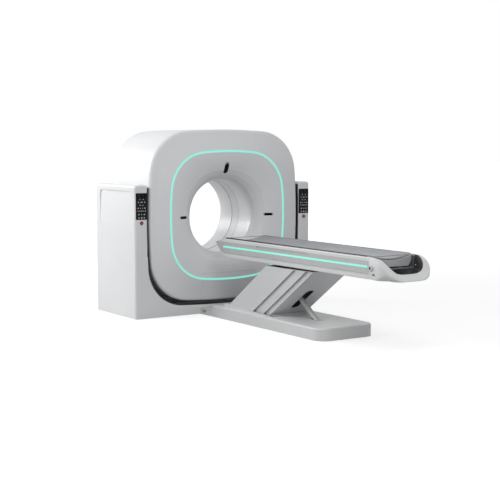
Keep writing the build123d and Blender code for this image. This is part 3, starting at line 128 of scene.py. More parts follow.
# Knob plug's section, and the end mark's place along and up the rail with its outline
PLUG = (
    (0.0105, -0.0005), (0.0105, 0.0004), (0.0095, 0.0009),
    (0.006, 0.0009), (0.0052, -0.0012), (0.0005, -0.0014),
)
END_MARK_AT = (-2.932, 0.6165)
END_MARK = (
    (0.014, -0.010), (0.018, -0.002), (-0.004, 0.012), (-0.020, -0.004), (-0.016, -0.011), (-0.003, -0.001),
)

# The pad: its gap to the cradle's trough, its crown's share at the very edge, how far its sides lie inside
# the CAD solid's, and the plan radii of its head and foot corners
PAD_LIFT, PAD_RIM, PAD_INSET = 0.0004, 0.42, 0.0045
HEAD_CORNER, FOOT_CORNER = 0.040, 0.048
FILL_STEPS, FILL_PRESSURE = 20, 4.0

# The pad's own measures, read from its CAD solid
PAD = {}


# Values a user would change
def length(name, description, default):
    about = {"name": name, "description": description, "default": default}
    return FloatProperty(**about, min=0.0, unit="LENGTH", precision=4)


def colour(name, description, default):
    about = {"name": name, "description": description, "default": (*default, 1.0)}
    return FloatVectorProperty(**about, size=4, min=0.0, max=1.0, subtype="COLOR")


class ScannerSizes(bpy.types.PropertyGroup):
    """Sizes of the pieces that the frame doesn't carry."""

    pad_swell: length("Pad swell", "How far the pad's cover may puff out from its foam", 0.003)
    pad_waist: length("Pad waist", "How far the pad's long sides pull in between its corners", 0.003)
    pad_voxel: length("Pad voxel", "Mesh size that the pad is filled at", 0.006)
    piping: length("Piping radius", "Radius of the cord sewn into the pad's edge", 0.0026)
    key_rise: length("Key rise", "How far the keys stand off the control panels", 0.0008)
    legend_rise: length("Legend rise", "How far the printed legends stand off their keys", 0.00012)
    screw: length("Screw radius", "Radius of the cover screws", 0.0055)
    trim: length("Cradle trim height", "Height of the rubber edge along the cradle", 0.013)
    bezel: length("Bezel width", "Width of the black frame round the upper window", 0.0085)
    band: length("Band width", "Width of the bright band round the foot end", 0.055)
    band_corner: length("Band corner", "Plan radius of the foot end's corners", 0.125)
    band_belly: length("Band belly", "Radius that the band's lower edge is rounded to", 0.070)
    band_sag: length("Band sag", "How far the foot end's lip hangs below the rails", 0.018)


class ScannerColours(bpy.types.PropertyGroup):
    """Colours of the finishes."""

    cover: colour("Gantry covers", "Moulded covers of the tilting body", (0.70, 0.705, 0.715))
    stand: colour("Stand", "Painted towers and beams", (0.70, 0.705, 0.71))
    table: colour("Table", "Painted table, column and base", (0.66, 0.665, 0.67))
    pad: colour("Pad", "Coated fabric of the table pad", (0.25, 0.262, 0.28))
    light: colour("Light guides", "Glow of the ring and of the table's strips", (0.23, 0.70, 0.58))
    panel: colour("Control panels", "Black membrane of the control panels", (0.012, 0.012, 0.014))
    legend: colour("Legends", "Printed marks on the keys", (0.80, 0.82, 0.82))
    stop: colour("Stop buttons", "Red of the stop buttons", (0.30, 0.012, 0.022))


# Meshes
class Shape:
    """Vertices and faces gathered for one piece; each face keeps the number of its material."""

    def __init__(self):
        self.verts, self.faces, self.finishes = [], [], []

    def add(self, points):
        first = len(self.verts)
        self.verts += [tuple(p) for p in points]
        return list(range(first, len(self.verts)))

    def face(self, corners, finish=0):
        self.faces.append(tuple(corners))
        self.finishes.append(finish)

    def skin(self, rings, finish=0, closed=True, start=True, end=True):
        """Join rings of points one after another; the first and last are capped where asked."""
        loops = [self.add(ring) for ring in rings]
        count = len(loops[0])
        for a, b in zip(loops, loops[1:]):
            for i in range(count if closed else count - 1):
                j = (i + 1) % count
                self.face((a[i], a[j], b[j], b[i]), finish)
        if start:
            self.face(reversed(loops[0]), finish)
        if end:
            self.face(loops[-1], finish)

    def piece(self, name, body, finishes, slot=None, smooth=30.0):
        """Make the object, set it on its body and give it its finishes."""
        mesh = bpy.data.meshes.new(name)
        mesh.from_pydata(self.verts, [], self.faces)
        for finish in finishes:
            mesh.materials.append(finish)
        mesh.polygons.foreach_set("material_index", self.finishes)
        work = bmesh.new()
        work.from_mesh(mesh)
        bmesh.ops.recalc_face_normals(work, faces=work.faces)
        work.to_mesh(mesh)
        work.free()
        piece = bpy.data.objects.new(name, mesh)
        bpy.context.scene.collection.objects.link(piece)
        mesh.shade_smooth()
        mesh.set_sharp_from_angle(angle=radians(smooth))
        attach(piece, body)
        return piece


def rounded(width, height, radius, steps=5):
    """Corners of a rounded rectangle about its middle, counterclockwise."""
    points = []
    for quarter, (sx, sy) in enumerate(((1, 1), (-1, 1), (-1, -1), (1, -1))):
        for k in range(steps + 1):
            a = (quarter + k / steps) * pi / 2
            x, y = sx * (width / 2 - radius), sy * (height / 2 - radius)
            points.append((x + radius * cos(a), y + radius * sin(a)))
    return points


def spaced(points, step):
    """The outline with more points on its long sides, so that it can follow a curved skin."""
    result = []
    for (ax, ay), (bx, by) in zip(points, points[1:] + points[:1]):
        count = max(1, round(hypot(bx - ax, by - ay) / step))
        result += [(ax + (bx - ax) * k / count, ay + (by - ay) * k / count) for k in range(count)]
    return result


def facing(origin, right, up):
    """A place on a surface: gives the point u to the right, v up and w out of it."""
    origin, right, up = Vector(origin), Vector(right).normalized(), Vector(up).normalized()
    out = right.cross(up)
    return lambda u, v, w=0.0: origin + right * u + up * v + out * w


def button(shape, place, at, size, radius, rise, edge, finish, sunk=0.0002):
    """A raised rounded key."""
    u, v = at
    rings = []
    for inset, w in ((0, -sunk), (0, rise - edge), (edge * 0.35, rise - edge * 0.3), (edge, rise)):
        outline = rounded(size[0] - 2 * inset, size[1] - 2 * inset, max(radius - inset, 1e-5))
        rings.append([place(u + x, v + y, w) for x, y in outline])
    shape.skin(rings, finish, start=False)


def flat_mark(shape, place, points, low, high, finish):
    """A printed mark: a polygon with a little thickness."""
    shape.skin([[place(x, y, w) for x, y in points] for w in (low, high)], finish, start=False)


def turned(shape, place, profile, count=32):
    """A turned part: profile of (radius, rise) pairs round the place's own axis."""
    angles = [2 * pi * k / count for k in range(count)]
    rings = [[place(r * cos(a), r * sin(a), w) for a in angles] for r, w in profile]
    shape.skin(rings, start=False)


def tree_of(name):
    """A CAD node's faces, ready for rays to be cast at them."""
    work = bmesh.new()
    work.from_mesh(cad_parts[name].data)
    tree = BVHTree.FromBMesh(work)
    work.free()
    return tree


def on_skin(skins, x, z, rise):
    """The skins' point seen from the front at x and z, lifted off them; over a seam, its nearest edge."""
    hits = [skin.ray_cast(Vector((x, -1.0, z)), Vector((0, 1, 0)), 0.9) for skin in skins]
    hits = [hit for hit in hits if hit[0]]
    if not hits:
        hits = [skin.find_nearest(Vector((x, -0.4, z))) for skin in skins]
        hits.sort(key=lambda hit: hypot(hit[0].x - x, hit[0].z - z))
        hits = hits[:1]
    point, normal = min(((hit[0], hit[1]) for hit in hits), key=lambda hit: hit[0].y)
    return Vector((x, point.y, z)) + (normal if normal.y < 0 else -normal) * rise


# Shader groups
def feed(tree, node, feeds):
    """Give a node's sockets a value each, or the output that drives them."""
    for socket, value in feeds.items():
        if isinstance(value, bpy.types.NodeSocket):
            tree.links.new(value, node.inputs[socket])
        else:
            node.inputs[socket].default_value = value


def put(tree, kind, at, feeds=None, **settings):
    """Add a node with its settings and its feeds."""
    node = tree.nodes.new(kind)
    node.location = (220 * at[0], 180 * at[1])
    for name, value in settings.items():
        setattr(node, name, value)
    feed(tree, node, feeds or {})
    return node


def shader_group(name, inputs, *outputs):
    """Turn a function that wires a group's nodes into one that gives the group, made when first asked for."""
    def sockets(tree, labels, side):
        for label, value in labels.items():
            kind = "NodeSocketColor" if isinstance(value, tuple) else "NodeSocketFloat"
            socket = tree.interface.new_socket(name=label, in_out=side, socket_type=kind)
            if side == "INPUT":
                socket.default_value = value

    def wrap(wire):
        @wraps(wire)
        def group():
            tree = bpy.data.node_groups.get(name)
            if not tree:
                tree = bpy.data.node_groups.new(name, "ShaderNodeTree")
                sockets(tree, inputs, "INPUT")
                sockets(tree, {label: inputs.get(label) for label in outputs}, "OUTPUT")
                given = put(tree, "NodeGroupInput", (-4, 0)).outputs
                where = put(tree, "ShaderNodeTexCoord", (-4, -2)).outputs["Object"]
                feed(tree, put(tree, "NodeGroupOutput", (6, 0)), wire(tree, given, where))
            return tree
        return group
    return wrap


def noise(tree, at, vector, scale, detail=3.0, rough=0.5):
    feeds = {"Vector": vector, "Scale": scale, "Detail": detail, "Roughness": rough}
    return put(tree, "ShaderNodeTexNoise", at, feeds).outputs[0]


def maths(tree, at, operation, a, b=0.0, clamp=False, plus=0.0):
    feeds = {0: a, 1: b, 2: plus}
    return put(tree, "ShaderNodeMath", at, feeds, operation=operation, use_clamp=clamp).outputs[0]


def ranged(tree, at, value, low, high, to_low=0.0, to_high=1.0):
    feeds = {"Value": value, "From Min": low, "From Max": high, "To Min": to_low, "To Max": to_high}
    return put(tree, "ShaderNodeMapRange", at, feeds, clamp=True).outputs[0]


def mixed(tree, at, factor, a, b):
    return put(tree, "ShaderNodeMix", at, {0: factor, 6: a, 7: b}, data_type="RGBA").outputs[2]


def seen_directly(tree, x, y):
    """1 where the camera, a mirror or a clear body shows the surface, 0 where it only lights others."""
    rays = put(tree, "ShaderNodeLightPath", (x, y)).outputs
    seen = maths(tree, (x + 1, y), "MAXIMUM", rays["Is Camera Ray"], rays["Is Transmission Ray"])
    return maths(tree, (x + 2, y), "MAXIMUM", seen, rays["Is Glossy Ray"])


PALE, GREY = (0.7, 0.7, 0.7, 1.0), (0.4, 0.4, 0.4, 1.0)


@shader_group("Moulded skin", {"Pebble per metre": 900.0, "Colour": PALE,
                               "Deeper colour": PALE, "Rough": 0.38},
              "Colour", "Roughness", "Height")
def moulded_skin(tree, given, where):
    """Fine pebble of a sprayed or moulded skin, and the slow unevenness of its colour and gloss."""
    pebble = noise(tree, (-2, 1), where, given["Pebble per metre"], 2.0, 0.6)
    slow = noise(tree, (-2, -1), where, 1.7, 2.0)
    patches = noise(tree, (-2, -3), where, 23.0, 4.0, 0.62)
    weak = maths(tree, (0, -3), "MULTIPLY", patches, 0.25)
    both = ranged(tree, (1, -1), maths(tree, (0, -1), "MULTIPLY_ADD", slow, 0.75, plus=weak), 0.36, 0.66)
    gloss = ranged(tree, (1, -3), patches, 0.3, 0.7, -0.05, 0.06)
    return {
        "Colour": mixed(tree, (2, 0), both, given["Colour"], given["Deeper colour"]),
        "Roughness": maths(tree, (3, -2), "ADD", given["Rough"], gloss, True),
        "Height": pebble,
    }


@shader_group("Floor scuffs", {"Reach": 0.14, "Colour": PALE, "Scuff colour": GREY, "Strength": 0.5},
              "Colour", "Mask")
def floor_scuffs(tree, given, where):
    """Rubs from shoes and mops, dense just over the floor and gone at knee height."""
    height = put(tree, "ShaderNodeSeparateXYZ", (-3, 2), {0: where}).outputs["Z"]
    share = maths(tree, (-2, 2), "DIVIDE", height, given["Reach"])
    near = maths(tree, (0, 2), "POWER", maths(tree, (-1, 2), "SUBTRACT", 1.0, share, True), 2.0)
    streaks = put(tree, "ShaderNodeMapping", (-3, -2), {0: where, 3: (9.0, 9.0, 60.0)}).outputs[0]
    rubs = ranged(tree, (0, -2), noise(tree, (-1, -2), streaks, 1.0, 5.0, 0.7), 0.56, 0.72)
    low_rubs = maths(tree, (1, 0), "MULTIPLY", near, rubs)
    mask = maths(tree, (2, 0), "MULTIPLY", low_rubs, given["Strength"], True)
    return {"Colour": mixed(tree, (4, 0), mask, given["Colour"], given["Scuff colour"]), "Mask": mask}


@shader_group("Machined marks", {"Along X": 40.0, "Along Y": 900.0, "Along Z": 900.0,
                                 "Colour": PALE, "Dull colour": GREY, "Rough": 0.3},
              "Colour", "Roughness", "Height")
def machined_marks(tree, given, where):
    """Fine lines left by turning or brushing, stretched along one axis."""
    along = {0: given["Along X"], 1: given["Along Y"], 2: given["Along Z"]}
    scales = put(tree, "ShaderNodeCombineXYZ", (-3, 1), along).outputs[0]
    stretched = put(tree, "ShaderNodeMapping", (-2, 0), {0: where, 3: scales}).outputs[0]
    lines = noise(tree, (-1, 0), stretched, 1.0, 3.0, 0.6)
    dull = ranged(tree, (0, -2), noise(tree, (-1, -2), where, 11.0, 4.0), 0.4, 0.7)
    spread = ranged(tree, (1, -1), lines, 0.3, 0.7, -0.06, 0.08)
    return {
        "Colour": mixed(tree, (3, 1), dull, given["Colour"], given["Dull colour"]),
        "Roughness": maths(tree, (3, -1), "ADD", given["Rough"], spread, True),
        "Height": lines,
    }


@shader_group("Fine weave", {"Threads per metre": 900.0, "Colour": PALE, "Thread colour": GREY},
              "Colour", "Height", "Wear")
def fine_weave(tree, given, where):
    """Crossing threads of a close weave, in metres, with the slight variation of its yarn."""
    axes = put(tree, "ShaderNodeSeparateXYZ", (-3, -2), {0: where}).outputs
    threads = []
    for k, axis in enumerate(("X", "Y")):
        turn = maths(tree, (-2, 1 - k), "MULTIPLY", axes[axis], given["Threads per metre"])
        threads.append(maths(tree, (-1, 1 - k), "SINE", maths(tree, (-2, 3 - k), "MULTIPLY", turn, 2 * pi)))
    cross = maths(tree, (0, 0), "MULTIPLY", *threads)
    uneven = noise(tree, (-1, -3), where, 260.0, 2.0)
    height = maths(tree, (1, 0), "MULTIPLY_ADD", cross, 0.4, plus=uneven)
    yarn = ranged(tree, (2, 0), height, 0.1, 0.9)
    return {
        "Colour": mixed(tree, (3, 1), yarn, given["Thread colour"], given["Colour"]),
        "Height": height,
        "Wear": ranged(tree, (2, -3), noise(tree, (0, -4), where, 6.0, 5.0, 0.6), 0.35, 0.75),
    }


@shader_group("Settled dust", {"Colour": PALE, "Dust colour": GREY, "Amount": 0.15}, "Colour", "Mask")
def settled_dust(tree, given, where):
    """A thin film that lies on faces that look up."""
    normal = put(tree, "ShaderNodeNewGeometry", (-4, 2)).outputs["Normal"]
    up = put(tree, "ShaderNodeSeparateXYZ", (-2, 1), {0: normal}).outputs["Z"]
    grains = ranged(tree, (-1, -2), noise(tree, (-2, -2), where, 41.0, 5.0, 0.65), 0.35, 0.75)
    film = maths(tree, (0, 0), "MULTIPLY", ranged(tree, (-1, 1), up, 0.5, 1.0), grains)
    mask = maths(tree, (1, 0), "MULTIPLY", film, given["Amount"], True)
    return {"Colour": mixed(tree, (3, 0), mask, given["Colour"], given["Dust colour"]), "Mask": mask}


def place_group(tree, group, at, feeds):
    return put(tree, "ShaderNodeGroup", at, feeds, node_tree=group).outputs


# Finishes
def new_finish(name, **plain):
    """A material with its Principled shader; plain values go on the shader's own sockets."""
    finish = bpy.data.materials.new(name)
    finish.use_nodes = True
    tree = finish.node_tree
    tree.nodes.clear()
    feeds = {key.replace("_", " "): value for key, value in plain.items()}
    shader = put(tree, "ShaderNodeBsdfPrincipled", (6, 0), feeds)
    put(tree, "ShaderNodeOutputMaterial", (8, 0), {"Surface": shader.outputs[0]})
    return finish, tree, shader


def shade(rgba, factor, tint=(1.0, 1.0, 1.0)):
    return tuple(min(1.0, c * factor * t) for c, t in zip(rgba, tint)) + (1.0,)


def skin_of(tree, at, rgba, pebble, deeper, rough):
    """A moulded skin in a colour that deepens slowly to another."""
    return place_group(tree, moulded_skin(), at, {
        "Pebble per metre": pebble, "Colour": shade(rgba, 1.0), "Deeper colour": deeper, "Rough": rough,
    })


def surface(tree, shader, colour, rough, height=None, strength=0.3, depth=0.0001):
    """Drive the shader's colour, roughness and relief."""
    feed(tree, shader, {"Base Color": colour, "Roughness": rough})
    if height is not None:
        relief = {"Height": height, "Strength": strength, "Distance": depth}
        feed(tree, shader, {"Normal": put(tree, "ShaderNodeBump", (4, -3), relief).outputs[0]})


def painted(rgba, rough, pebble, depth, scuffs=0.0, dust=0.0, coat=0.0, shine=0.45, name=""):
    """Sprayed or moulded opaque skin."""
    finish, tree, shader = new_finish(name, Specular_IOR_Level=shine, Coat_Weight=coat, Coat_Roughness=0.12)
    skin = skin_of(tree, (0, 0), rgba, pebble, shade(rgba, 0.965, (0.995, 1.0, 1.0)), rough)
    result = skin["Colour"]
    if scuffs:
        result = place_group(tree, floor_scuffs(), (2, 1), {
            "Reach": 0.16, "Colour": result,
            "Scuff colour": shade(rgba, 0.52, (1.0, 0.98, 0.95)), "Strength": scuffs,
        })["Colour"]
    if dust:
        result = place_group(tree, settled_dust(), (4, 1), {
            "Colour": result, "Dust colour": shade(rgba, 0.8, (1.0, 0.99, 0.96)), "Amount": dust,
        })["Colour"]
    surface(tree, shader, result, skin["Roughness"], skin["Height"], 0.35, depth)
    return finish


def rail_paint(rgba, name=""):
    """The rails' paint, with the greyer anodised inlay that runs between their bright edge and lower lip."""
    finish, tree, shader = new_finish(name, Specular_IOR_Level=0.45)
    skin = skin_of(tree, (-2, 0), rgba, 1000.0, shade(rgba, 0.965), 0.38)
    marks = place_group(tree, machined_marks(), (-2, -2), {
        "Along X": 900.0, "Along Y": 25.0, "Along Z": 900.0,
        "Colour": shade(rgba, 0.74), "Dull colour": shade(rgba, 0.70), "Rough": 0.42,
    })
    where = put(tree, "ShaderNodeTexCoord", (-4, 3)).outputs["Object"]
    height = put(tree, "ShaderNodeSeparateXYZ", (-3, 3), {0: where}).outputs["Z"]
    over = ranged(tree, (-1, 3), height, INLAY_LOW, INLAY_LOW + INLAY_EDGE)
    under = ranged(tree, (-1, 4), height, INLAY_HIGH - INLAY_EDGE, INLAY_HIGH, 1.0, 0.0)
    inlay = maths(tree, (0, 3), "MULTIPLY", over, under)
    colour_there = mixed(tree, (2, 1), inlay, skin["Colour"], marks["Colour"])
    rough = maths(tree, (2, -1), "MULTIPLY_ADD", inlay, 0.05, plus=skin["Roughness"])
    surface(tree, shader, colour_there, rough, skin["Height"], 0.35, 0.00004)
    return finish


def machined(rgba, rough, along, depth=0.00003, name=""):
    """Bare turned, brushed or polished metal."""
    finish, tree, shader = new_finish(name, Metallic=1.0)
    marks = place_group(tree, machined_marks(), (0, 0), {
        "Along X": along[0], "Along Y": along[1], "Along Z": along[2],
        "Colour": shade(rgba, 1.0), "Dull colour": shade(rgba, 0.8), "Rough": rough,
    })
    surface(tree, shader, marks["Colour"], marks["Roughness"], marks["Height"], 0.3, depth)
    return finish


def light_guide(rgba, name=""):
    """Edge-lit plastic: even glow, a little deeper in places."""
    finish, tree, shader = new_finish(name, Emission_Strength=0.9)
    skin = skin_of(tree, (0, 0), rgba, 300.0, shade(rgba, 0.9), 0.3)
    feed(tree, shader, {"Emission Color": skin["Colour"]})
    surface(tree, shader, shade(rgba, 0.5), 0.3)
    return finish


def clear_film(name=""):
    """Thin polymer ring that the X-rays pass through."""
    finish, tree, shader = new_finish(name, Specular_IOR_Level=0.3)
    rgba = (0.68, 0.69, 0.70)
    skin = skin_of(tree, (0, 0), rgba, 60.0, shade(rgba, 0.95), 0.42)
    surface(tree, shader, skin["Colour"], skin["Roughness"], skin["Height"], 0.2, 0.0004)
    return finish


def composite_shell(name=""):
    """Cradle laminate: grey gel coat over a faint carbon weave."""
    finish, tree, shader = new_finish(name, Coat_Weight=0.25, Coat_Roughness=0.15)
    rgba = (0.47, 0.475, 0.48)
    weave = place_group(tree, fine_weave(), (0, 0), {
        "Threads per metre": 260.0, "Colour": shade(rgba, 1.0), "Thread colour": shade(rgba, 0.93),
    })
    rough = ranged(tree, (2, -1), weave["Wear"], 0.0, 1.0, 0.34, 0.46)
    surface(tree, shader, weave["Colour"], rough, weave["Height"], 0.15, 0.0001)
    return finish


def pad_cloth(rgba, half, stitch_in):
    """Coated fabric: close weave, rubbed sheen, and a row of stitches inside the piping."""
    sheen = {"Sheen_Weight": 0.25, "Sheen_Roughness": 0.5}
    finish, tree, shader = new_finish("pad_cloth", **sheen, Specular_IOR_Level=0.4)
    weave = place_group(tree, fine_weave(), (-1, 1), {
        "Threads per metre": 700.0, "Colour": shade(rgba, 1.0), "Thread colour": shade(rgba, 0.82),
    })
    where = put(tree, "ShaderNodeTexCoord", (-4, -3)).outputs["Object"]
    axes = put(tree, "ShaderNodeSeparateXYZ", (-3, -3), {0: where}).outputs
    across = maths(tree, (-2, -3), "ABSOLUTE", axes["X"])
    off = maths(tree, (-1, -3), "ABSOLUTE", maths(tree, (-1, -4), "SUBTRACT", across, half - stitch_in))
    row = ranged(tree, (0, -3), off, 0.0004, 0.0011, 1.0, 0.0)
    turn = maths(tree, (-2, -5), "MULTIPLY", axes["Y"], 2 * pi / STITCH_PITCH)
    dash = ranged(tree, (0, -5), maths(tree, (-1, -5), "SINE", turn), -0.35, 0.1)
    stitches = maths(tree, (1, -4), "MULTIPLY", row, dash)
    rubbed = maths(tree, (0, 2), "MULTIPLY", weave["Wear"], 0.22)
    worn = mixed(tree, (1, 1), rubbed, weave["Colour"], shade(rgba, 1.22))
    colour_there = mixed(tree, (3, 1), stitches, worn, shade(rgba, 1.5))
    rough = ranged(tree, (3, -1), weave["Wear"], 0.0, 1.0, 0.62, 0.48)
    groove = ranged(tree, (0, -6), off, 0.0, 0.003, -1.6, 0.0)
    base = maths(tree, (3, -5), "MULTIPLY_ADD", weave["Height"], 0.35, plus=groove)
    seam = maths(tree, (2, -3), "MULTIPLY_ADD", stitches, 0.9, plus=base)
    surface(tree, shader, colour_there, rough, seam, 0.7, 0.0006)
    return finish


FINISHES = {}


def finish_of(name):
    """The finish of that name, made the first time that it is asked for."""
    if name in FINISHES:
        return FINISHES[name]
    hues = bpy.context.scene.scanner_colours
    recipes = {
        "cover_white": partial(painted, hues.cover, 0.36, 700.0, 0.00005),
        "stand_white": partial(painted, hues.stand, 0.4, 1100.0, 0.00004, scuffs=0.35, dust=0.08),
        "table_white": partial(painted, hues.table, 0.38, 1000.0, 0.00004, scuffs=0.3, dust=0.06),
        "rail_paint": partial(rail_paint, hues.table),
        "frame_steel": partial(painted, (0.20, 0.21, 0.225), 0.55, 600.0, 0.00008, dust=0.3),
        "motor_grey": partial(painted, (0.13, 0.135, 0.145), 0.5, 500.0, 0.0001, dust=0.25),
        "black_plastic": partial(painted, (0.011, 0.011, 0.012), 0.5, 800.0, 0.00006, dust=0.05),
        # painted shade: the near-black of the sheet inside the foot end's hollow
        "painted_shade_black": partial(painted, (0.045, 0.045, 0.047), 0.45, 500.0, 0.00008, dust=0.1),
        "panel_black": partial(painted, hues.panel, 0.42, 1400.0, 0.00002, shine=0.12),
        "window_black": partial(painted, (0.004, 0.004, 0.005), 0.5, 300.0, 0.00001, shine=0.05),
        "stop_red": partial(painted, hues.stop, 0.28, 900.0, 0.00002, coat=0.4),
        "knob_grey": partial(painted, (0.52, 0.53, 0.54), 0.42, 1200.0, 0.00005),
        "key_grey": partial(painted, (0.022, 0.023, 0.026), 0.42, 1500.0, 0.00003, shine=0.15),
        "legend": partial(painted, hues.legend, 0.5, 1500.0, 0.00002),
        "display_digits": partial(painted, (0.16, 0.17, 0.17), 0.5, 1500.0, 0.00002),
        "belt_rubber": partial(painted, (0.02, 0.02, 0.021), 0.72, 350.0, 0.0002, dust=0.2),
        "bright_steel": partial(machined, (0.55, 0.555, 0.57), 0.3, (60.0, 700.0, 700.0)),
        "cast_alloy": partial(machined, (0.58, 0.585, 0.6), 0.42, (220.0, 220.0, 220.0), 0.0001),
        "slip_brass": partial(machined, (0.62, 0.44, 0.16), 0.24, (500.0, 40.0, 500.0)),
        "strut_alloy": partial(painted, (0.50, 0.505, 0.51), 0.34, 1300.0, 0.00003),
        "chrome_rod": partial(machined, (0.72, 0.725, 0.74), 0.1, (80.0, 600.0, 600.0), 0.00001),
        "light_guide": partial(light_guide, hues.light),
        "scan_film": clear_film,
        "cradle_laminate": composite_shell,
    }
    FINISHES[name] = recipes[name](name=name)
    return FINISHES[name]


def dress(finish, *nodes):
    """Give CAD nodes their finish."""
    for name in nodes:
        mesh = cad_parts[name].data
        mesh.materials.clear()
        mesh.materials.append(finish_of(finish))


def smoothed(angle, *nodes):
    """Let light run smoothly over a CAD node's facets, and keep its edges crisp."""
    for name in nodes:
        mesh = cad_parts[name].data
        mesh.shade_smooth()
        mesh.set_sharp_from_angle(angle=radians(angle))


# The pieces
class SCANNER_OT_stage(bpy.types.Operator):
    """Set the floor, the light and the camera"""

    bl_idname = "scanner.stage"
    bl_label = "Set stage"

    def execute(self, context):
        scene = context.scene
        scene.view_settings.view_transform = "Standard"
        lens = bpy.data.cameras.new("photo_camera")
        lens.lens, lens.sensor_width = CAMERA_LENS, CAMERA_SENSOR
        lens.clip_start, lens.clip_end = 0.1, 200.0
        camera = bpy.data.objects.new("photo_camera", lens)
        scene.collection.objects.link(camera)
        yaw, pitch = radians(CAMERA_YAW), radians(CAMERA_PITCH)
        look = Vector((sin(yaw) * cos(pitch), cos(yaw) * cos(pitch), sin(pitch)))
        camera.location = CAMERA_AT
        camera.rotation_mode = "QUATERNION"
        camera.rotation_quaternion = look.to_track_quat("-Z", "Y")
        scene.camera = camera
        self.light(scene)
        self.floor(scene)
        return {"FINISHED"}

    def light(self, scene):
        """An even pale room, and soft boxes at the left, over the front, far behind and low in front."""
        world = bpy.data.worlds.new("studio")
        world.use_nodes = True
        tree = world.node_tree
        tree.nodes.clear()
        seen = seen_directly(tree, -4, 2)
        room = put(tree, "ShaderNodeBackground", (0, -1), {0: ROOM_TINT, 1: ROOM_LIGHT})
        white = put(tree, "ShaderNodeBackground", (0, 1), {0: WHITE, 1: 1.0})
        blend = put(tree, "ShaderNodeMixShader", (2, 0), {0: seen, 1: room.outputs[0], 2: white.outputs[0]})
        put(tree, "ShaderNodeOutputWorld", (4, 0), {0: blend.outputs[0]})
        scene.world = world
        for name, (at, aim, size, power) in SOFT_BOXES.items():
            lamp = bpy.data.lights.new(name, "AREA")
            lamp.shape, lamp.size, lamp.energy = "DISK", size, power
            holder = bpy.data.objects.new(name, lamp)
            scene.collection.objects.link(holder)
            holder.location = at
            holder.rotation_mode = "QUATERNION"
            holder.rotation_quaternion = (Vector(aim) - Vector(at)).to_track_quat("-Z", "Y")

    def floor(self, scene):
        """Pale floor that shows white to the camera and keeps the shadows."""
        corners = [(sx * FLOOR_HALF, sy * FLOOR_HALF, 0) for sx, sy in ((-1, -1), (1, -1), (1, 1), (-1, 1))]
        mesh = bpy.data.meshes.new("floor")
        mesh.from_pydata(corners, [], [(0, 1, 2, 3)])
        floor = bpy.data.objects.new("floor", mesh)
        scene.collection.objects.link(floor)
        floor.location = (0, 0, -FLOOR_DROP)
        finish, tree, shader = new_finish("floor_vinyl", Specular_IOR_Level=0.1)
        where = put(tree, "ShaderNodeTexCoord", (-2, 0)).outputs["Object"]
        speckle = noise(tree, (-1, 0), where, 180.0, 3.0)
        rough = ranged(tree, (1, -2), speckle, 0.3, 0.7, 0.6, 0.75)
        surface(tree, shader, mixed(tree, (1, 0), speckle, FLOOR_LOW, FLOOR_HIGH), rough)
        away = put(tree, "ShaderNodeVectorMath", (1, 3), {0: where}, operation="LENGTH").outputs["Value"]
        level = ranged(tree, (3, 3), away, GLOW_FROM[0], GLOW_TO[0], GLOW_FROM[1], GLOW_TO[1])
        strength = maths(tree, (7, 4), "MULTIPLY", seen_directly(tree, 4, 4), level)
        glow = put(tree, "ShaderNodeEmission", (6, 2), {0: WHITE, 1: strength})
        both = put(tree, "ShaderNodeAddShader", (7, 1), {0: shader.outputs[0], 1: glow.outputs[0]})
        tree.links.new(both.outputs[0], tree.nodes["Material Output"].inputs[0])
        mesh.materials.append(finish)


class SCANNER_OT_gantry(bpy.types.Operator):
    """Finish the covers, the light ring and the windows of the tilting body"""

    bl_idname = "scanner.gantry"
    bl_label = "Finish gantry"

    def execute(self, context):
        dress("cover_white", *COVERS)
        dress("light_guide", "light_ring")
        dress("window_black", "gantry_windows")
        dress("scan_film", "scan_window")
        dress("black_plastic", "window_seals")
        self.bezels(context.scene.scanner_sizes.bezel)
        smoothed(24, *COVERS)
        return {"FINISHED"}

    def bezels(self, full):
        """Black frame round each window, laid on the dished cover by rays; the upright one is wider."""
        skins = [tree_of(name) for name in ("front_funnel", "gantry_windows")]
        glass = [v.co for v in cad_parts["gantry_windows"].data.vertices]
        shape = Shape()
        for inside in (lambda x: abs(x) < 0.1, lambda x: x > 0.3, lambda x: x < -0.3):
            points = [p for p in glass if inside(p.x)]
            low = Vector((min(p.x for p in points), 0, min(p.z for p in points)))
            high = Vector((max(p.x for p in points), 0, max(p.z for p in points)))
            middle, size = (low + high) / 2, high - low
            width = full if size.z > size.x else full * SIDE_BEZEL
            rings = []
            core = spaced(rounded(size.x, size.z, min(size.x, size.z) / 2 - 1e-5, 8), BEZEL_STEP)
            for grow, rise in BEZEL:
                wide, tall = 1 + 2 * grow * width / size.x, 1 + 2 * grow * width / size.z
                outline = [(middle.x + x * wide, middle.z + z * tall) for x, z in core]
                rings.append([on_skin(skins, x, z, rise) for x, z in outline])
            shape.skin(rings, start=False, end=False)
        shape.piece("window_bezels", "gantry", [finish_of("window_black")], "window_black", 50)


class SCANNER_OT_stand(bpy.types.Operator):
    """Finish the towers, the fascias and the black strips of the stand"""

    bl_idname = "scanner.stand"
    bl_label = "Finish stand"

    def execute(self, context):
        dress("stand_white", "front_fascia", "rear_fascia", "tower_covers")
        dress("black_plastic", "gap_strips", "inner_panels", "stop_collars")
        dress("panel_black", "keypads")
        dress("stop_red", "right_stop_button", "left_stop_button")
        dress("frame_steel", "stand_frame")
        dress("bright_steel", "anchor_bolts", "tilt_bearings", "tilt_worm")
        dress("motor_grey", "tilt_motor", "power_unit")
        return {"FINISHED"}


class SCANNER_OT_works(bpy.types.Operator):
    """Finish what turns and carries inside the gantry"""

    bl_idname = "scanner.works"
    bl_label = "Finish works"

    def execute(self, context):
        dress("frame_steel", "gantry_frame")
        dress("bright_steel", "trunnions", "air_bearing", "drive_pulley")
        dress("cast_alloy", "rotor_drum", "collimator", "detector_arc")
        dress("slip_brass", "slip_ring")
        dress("motor_grey", "xray_tube", "rotor_modules", "brush_block", "drive_motor")
        dress("belt_rubber", "drive_belt")
        return {"FINISHED"}


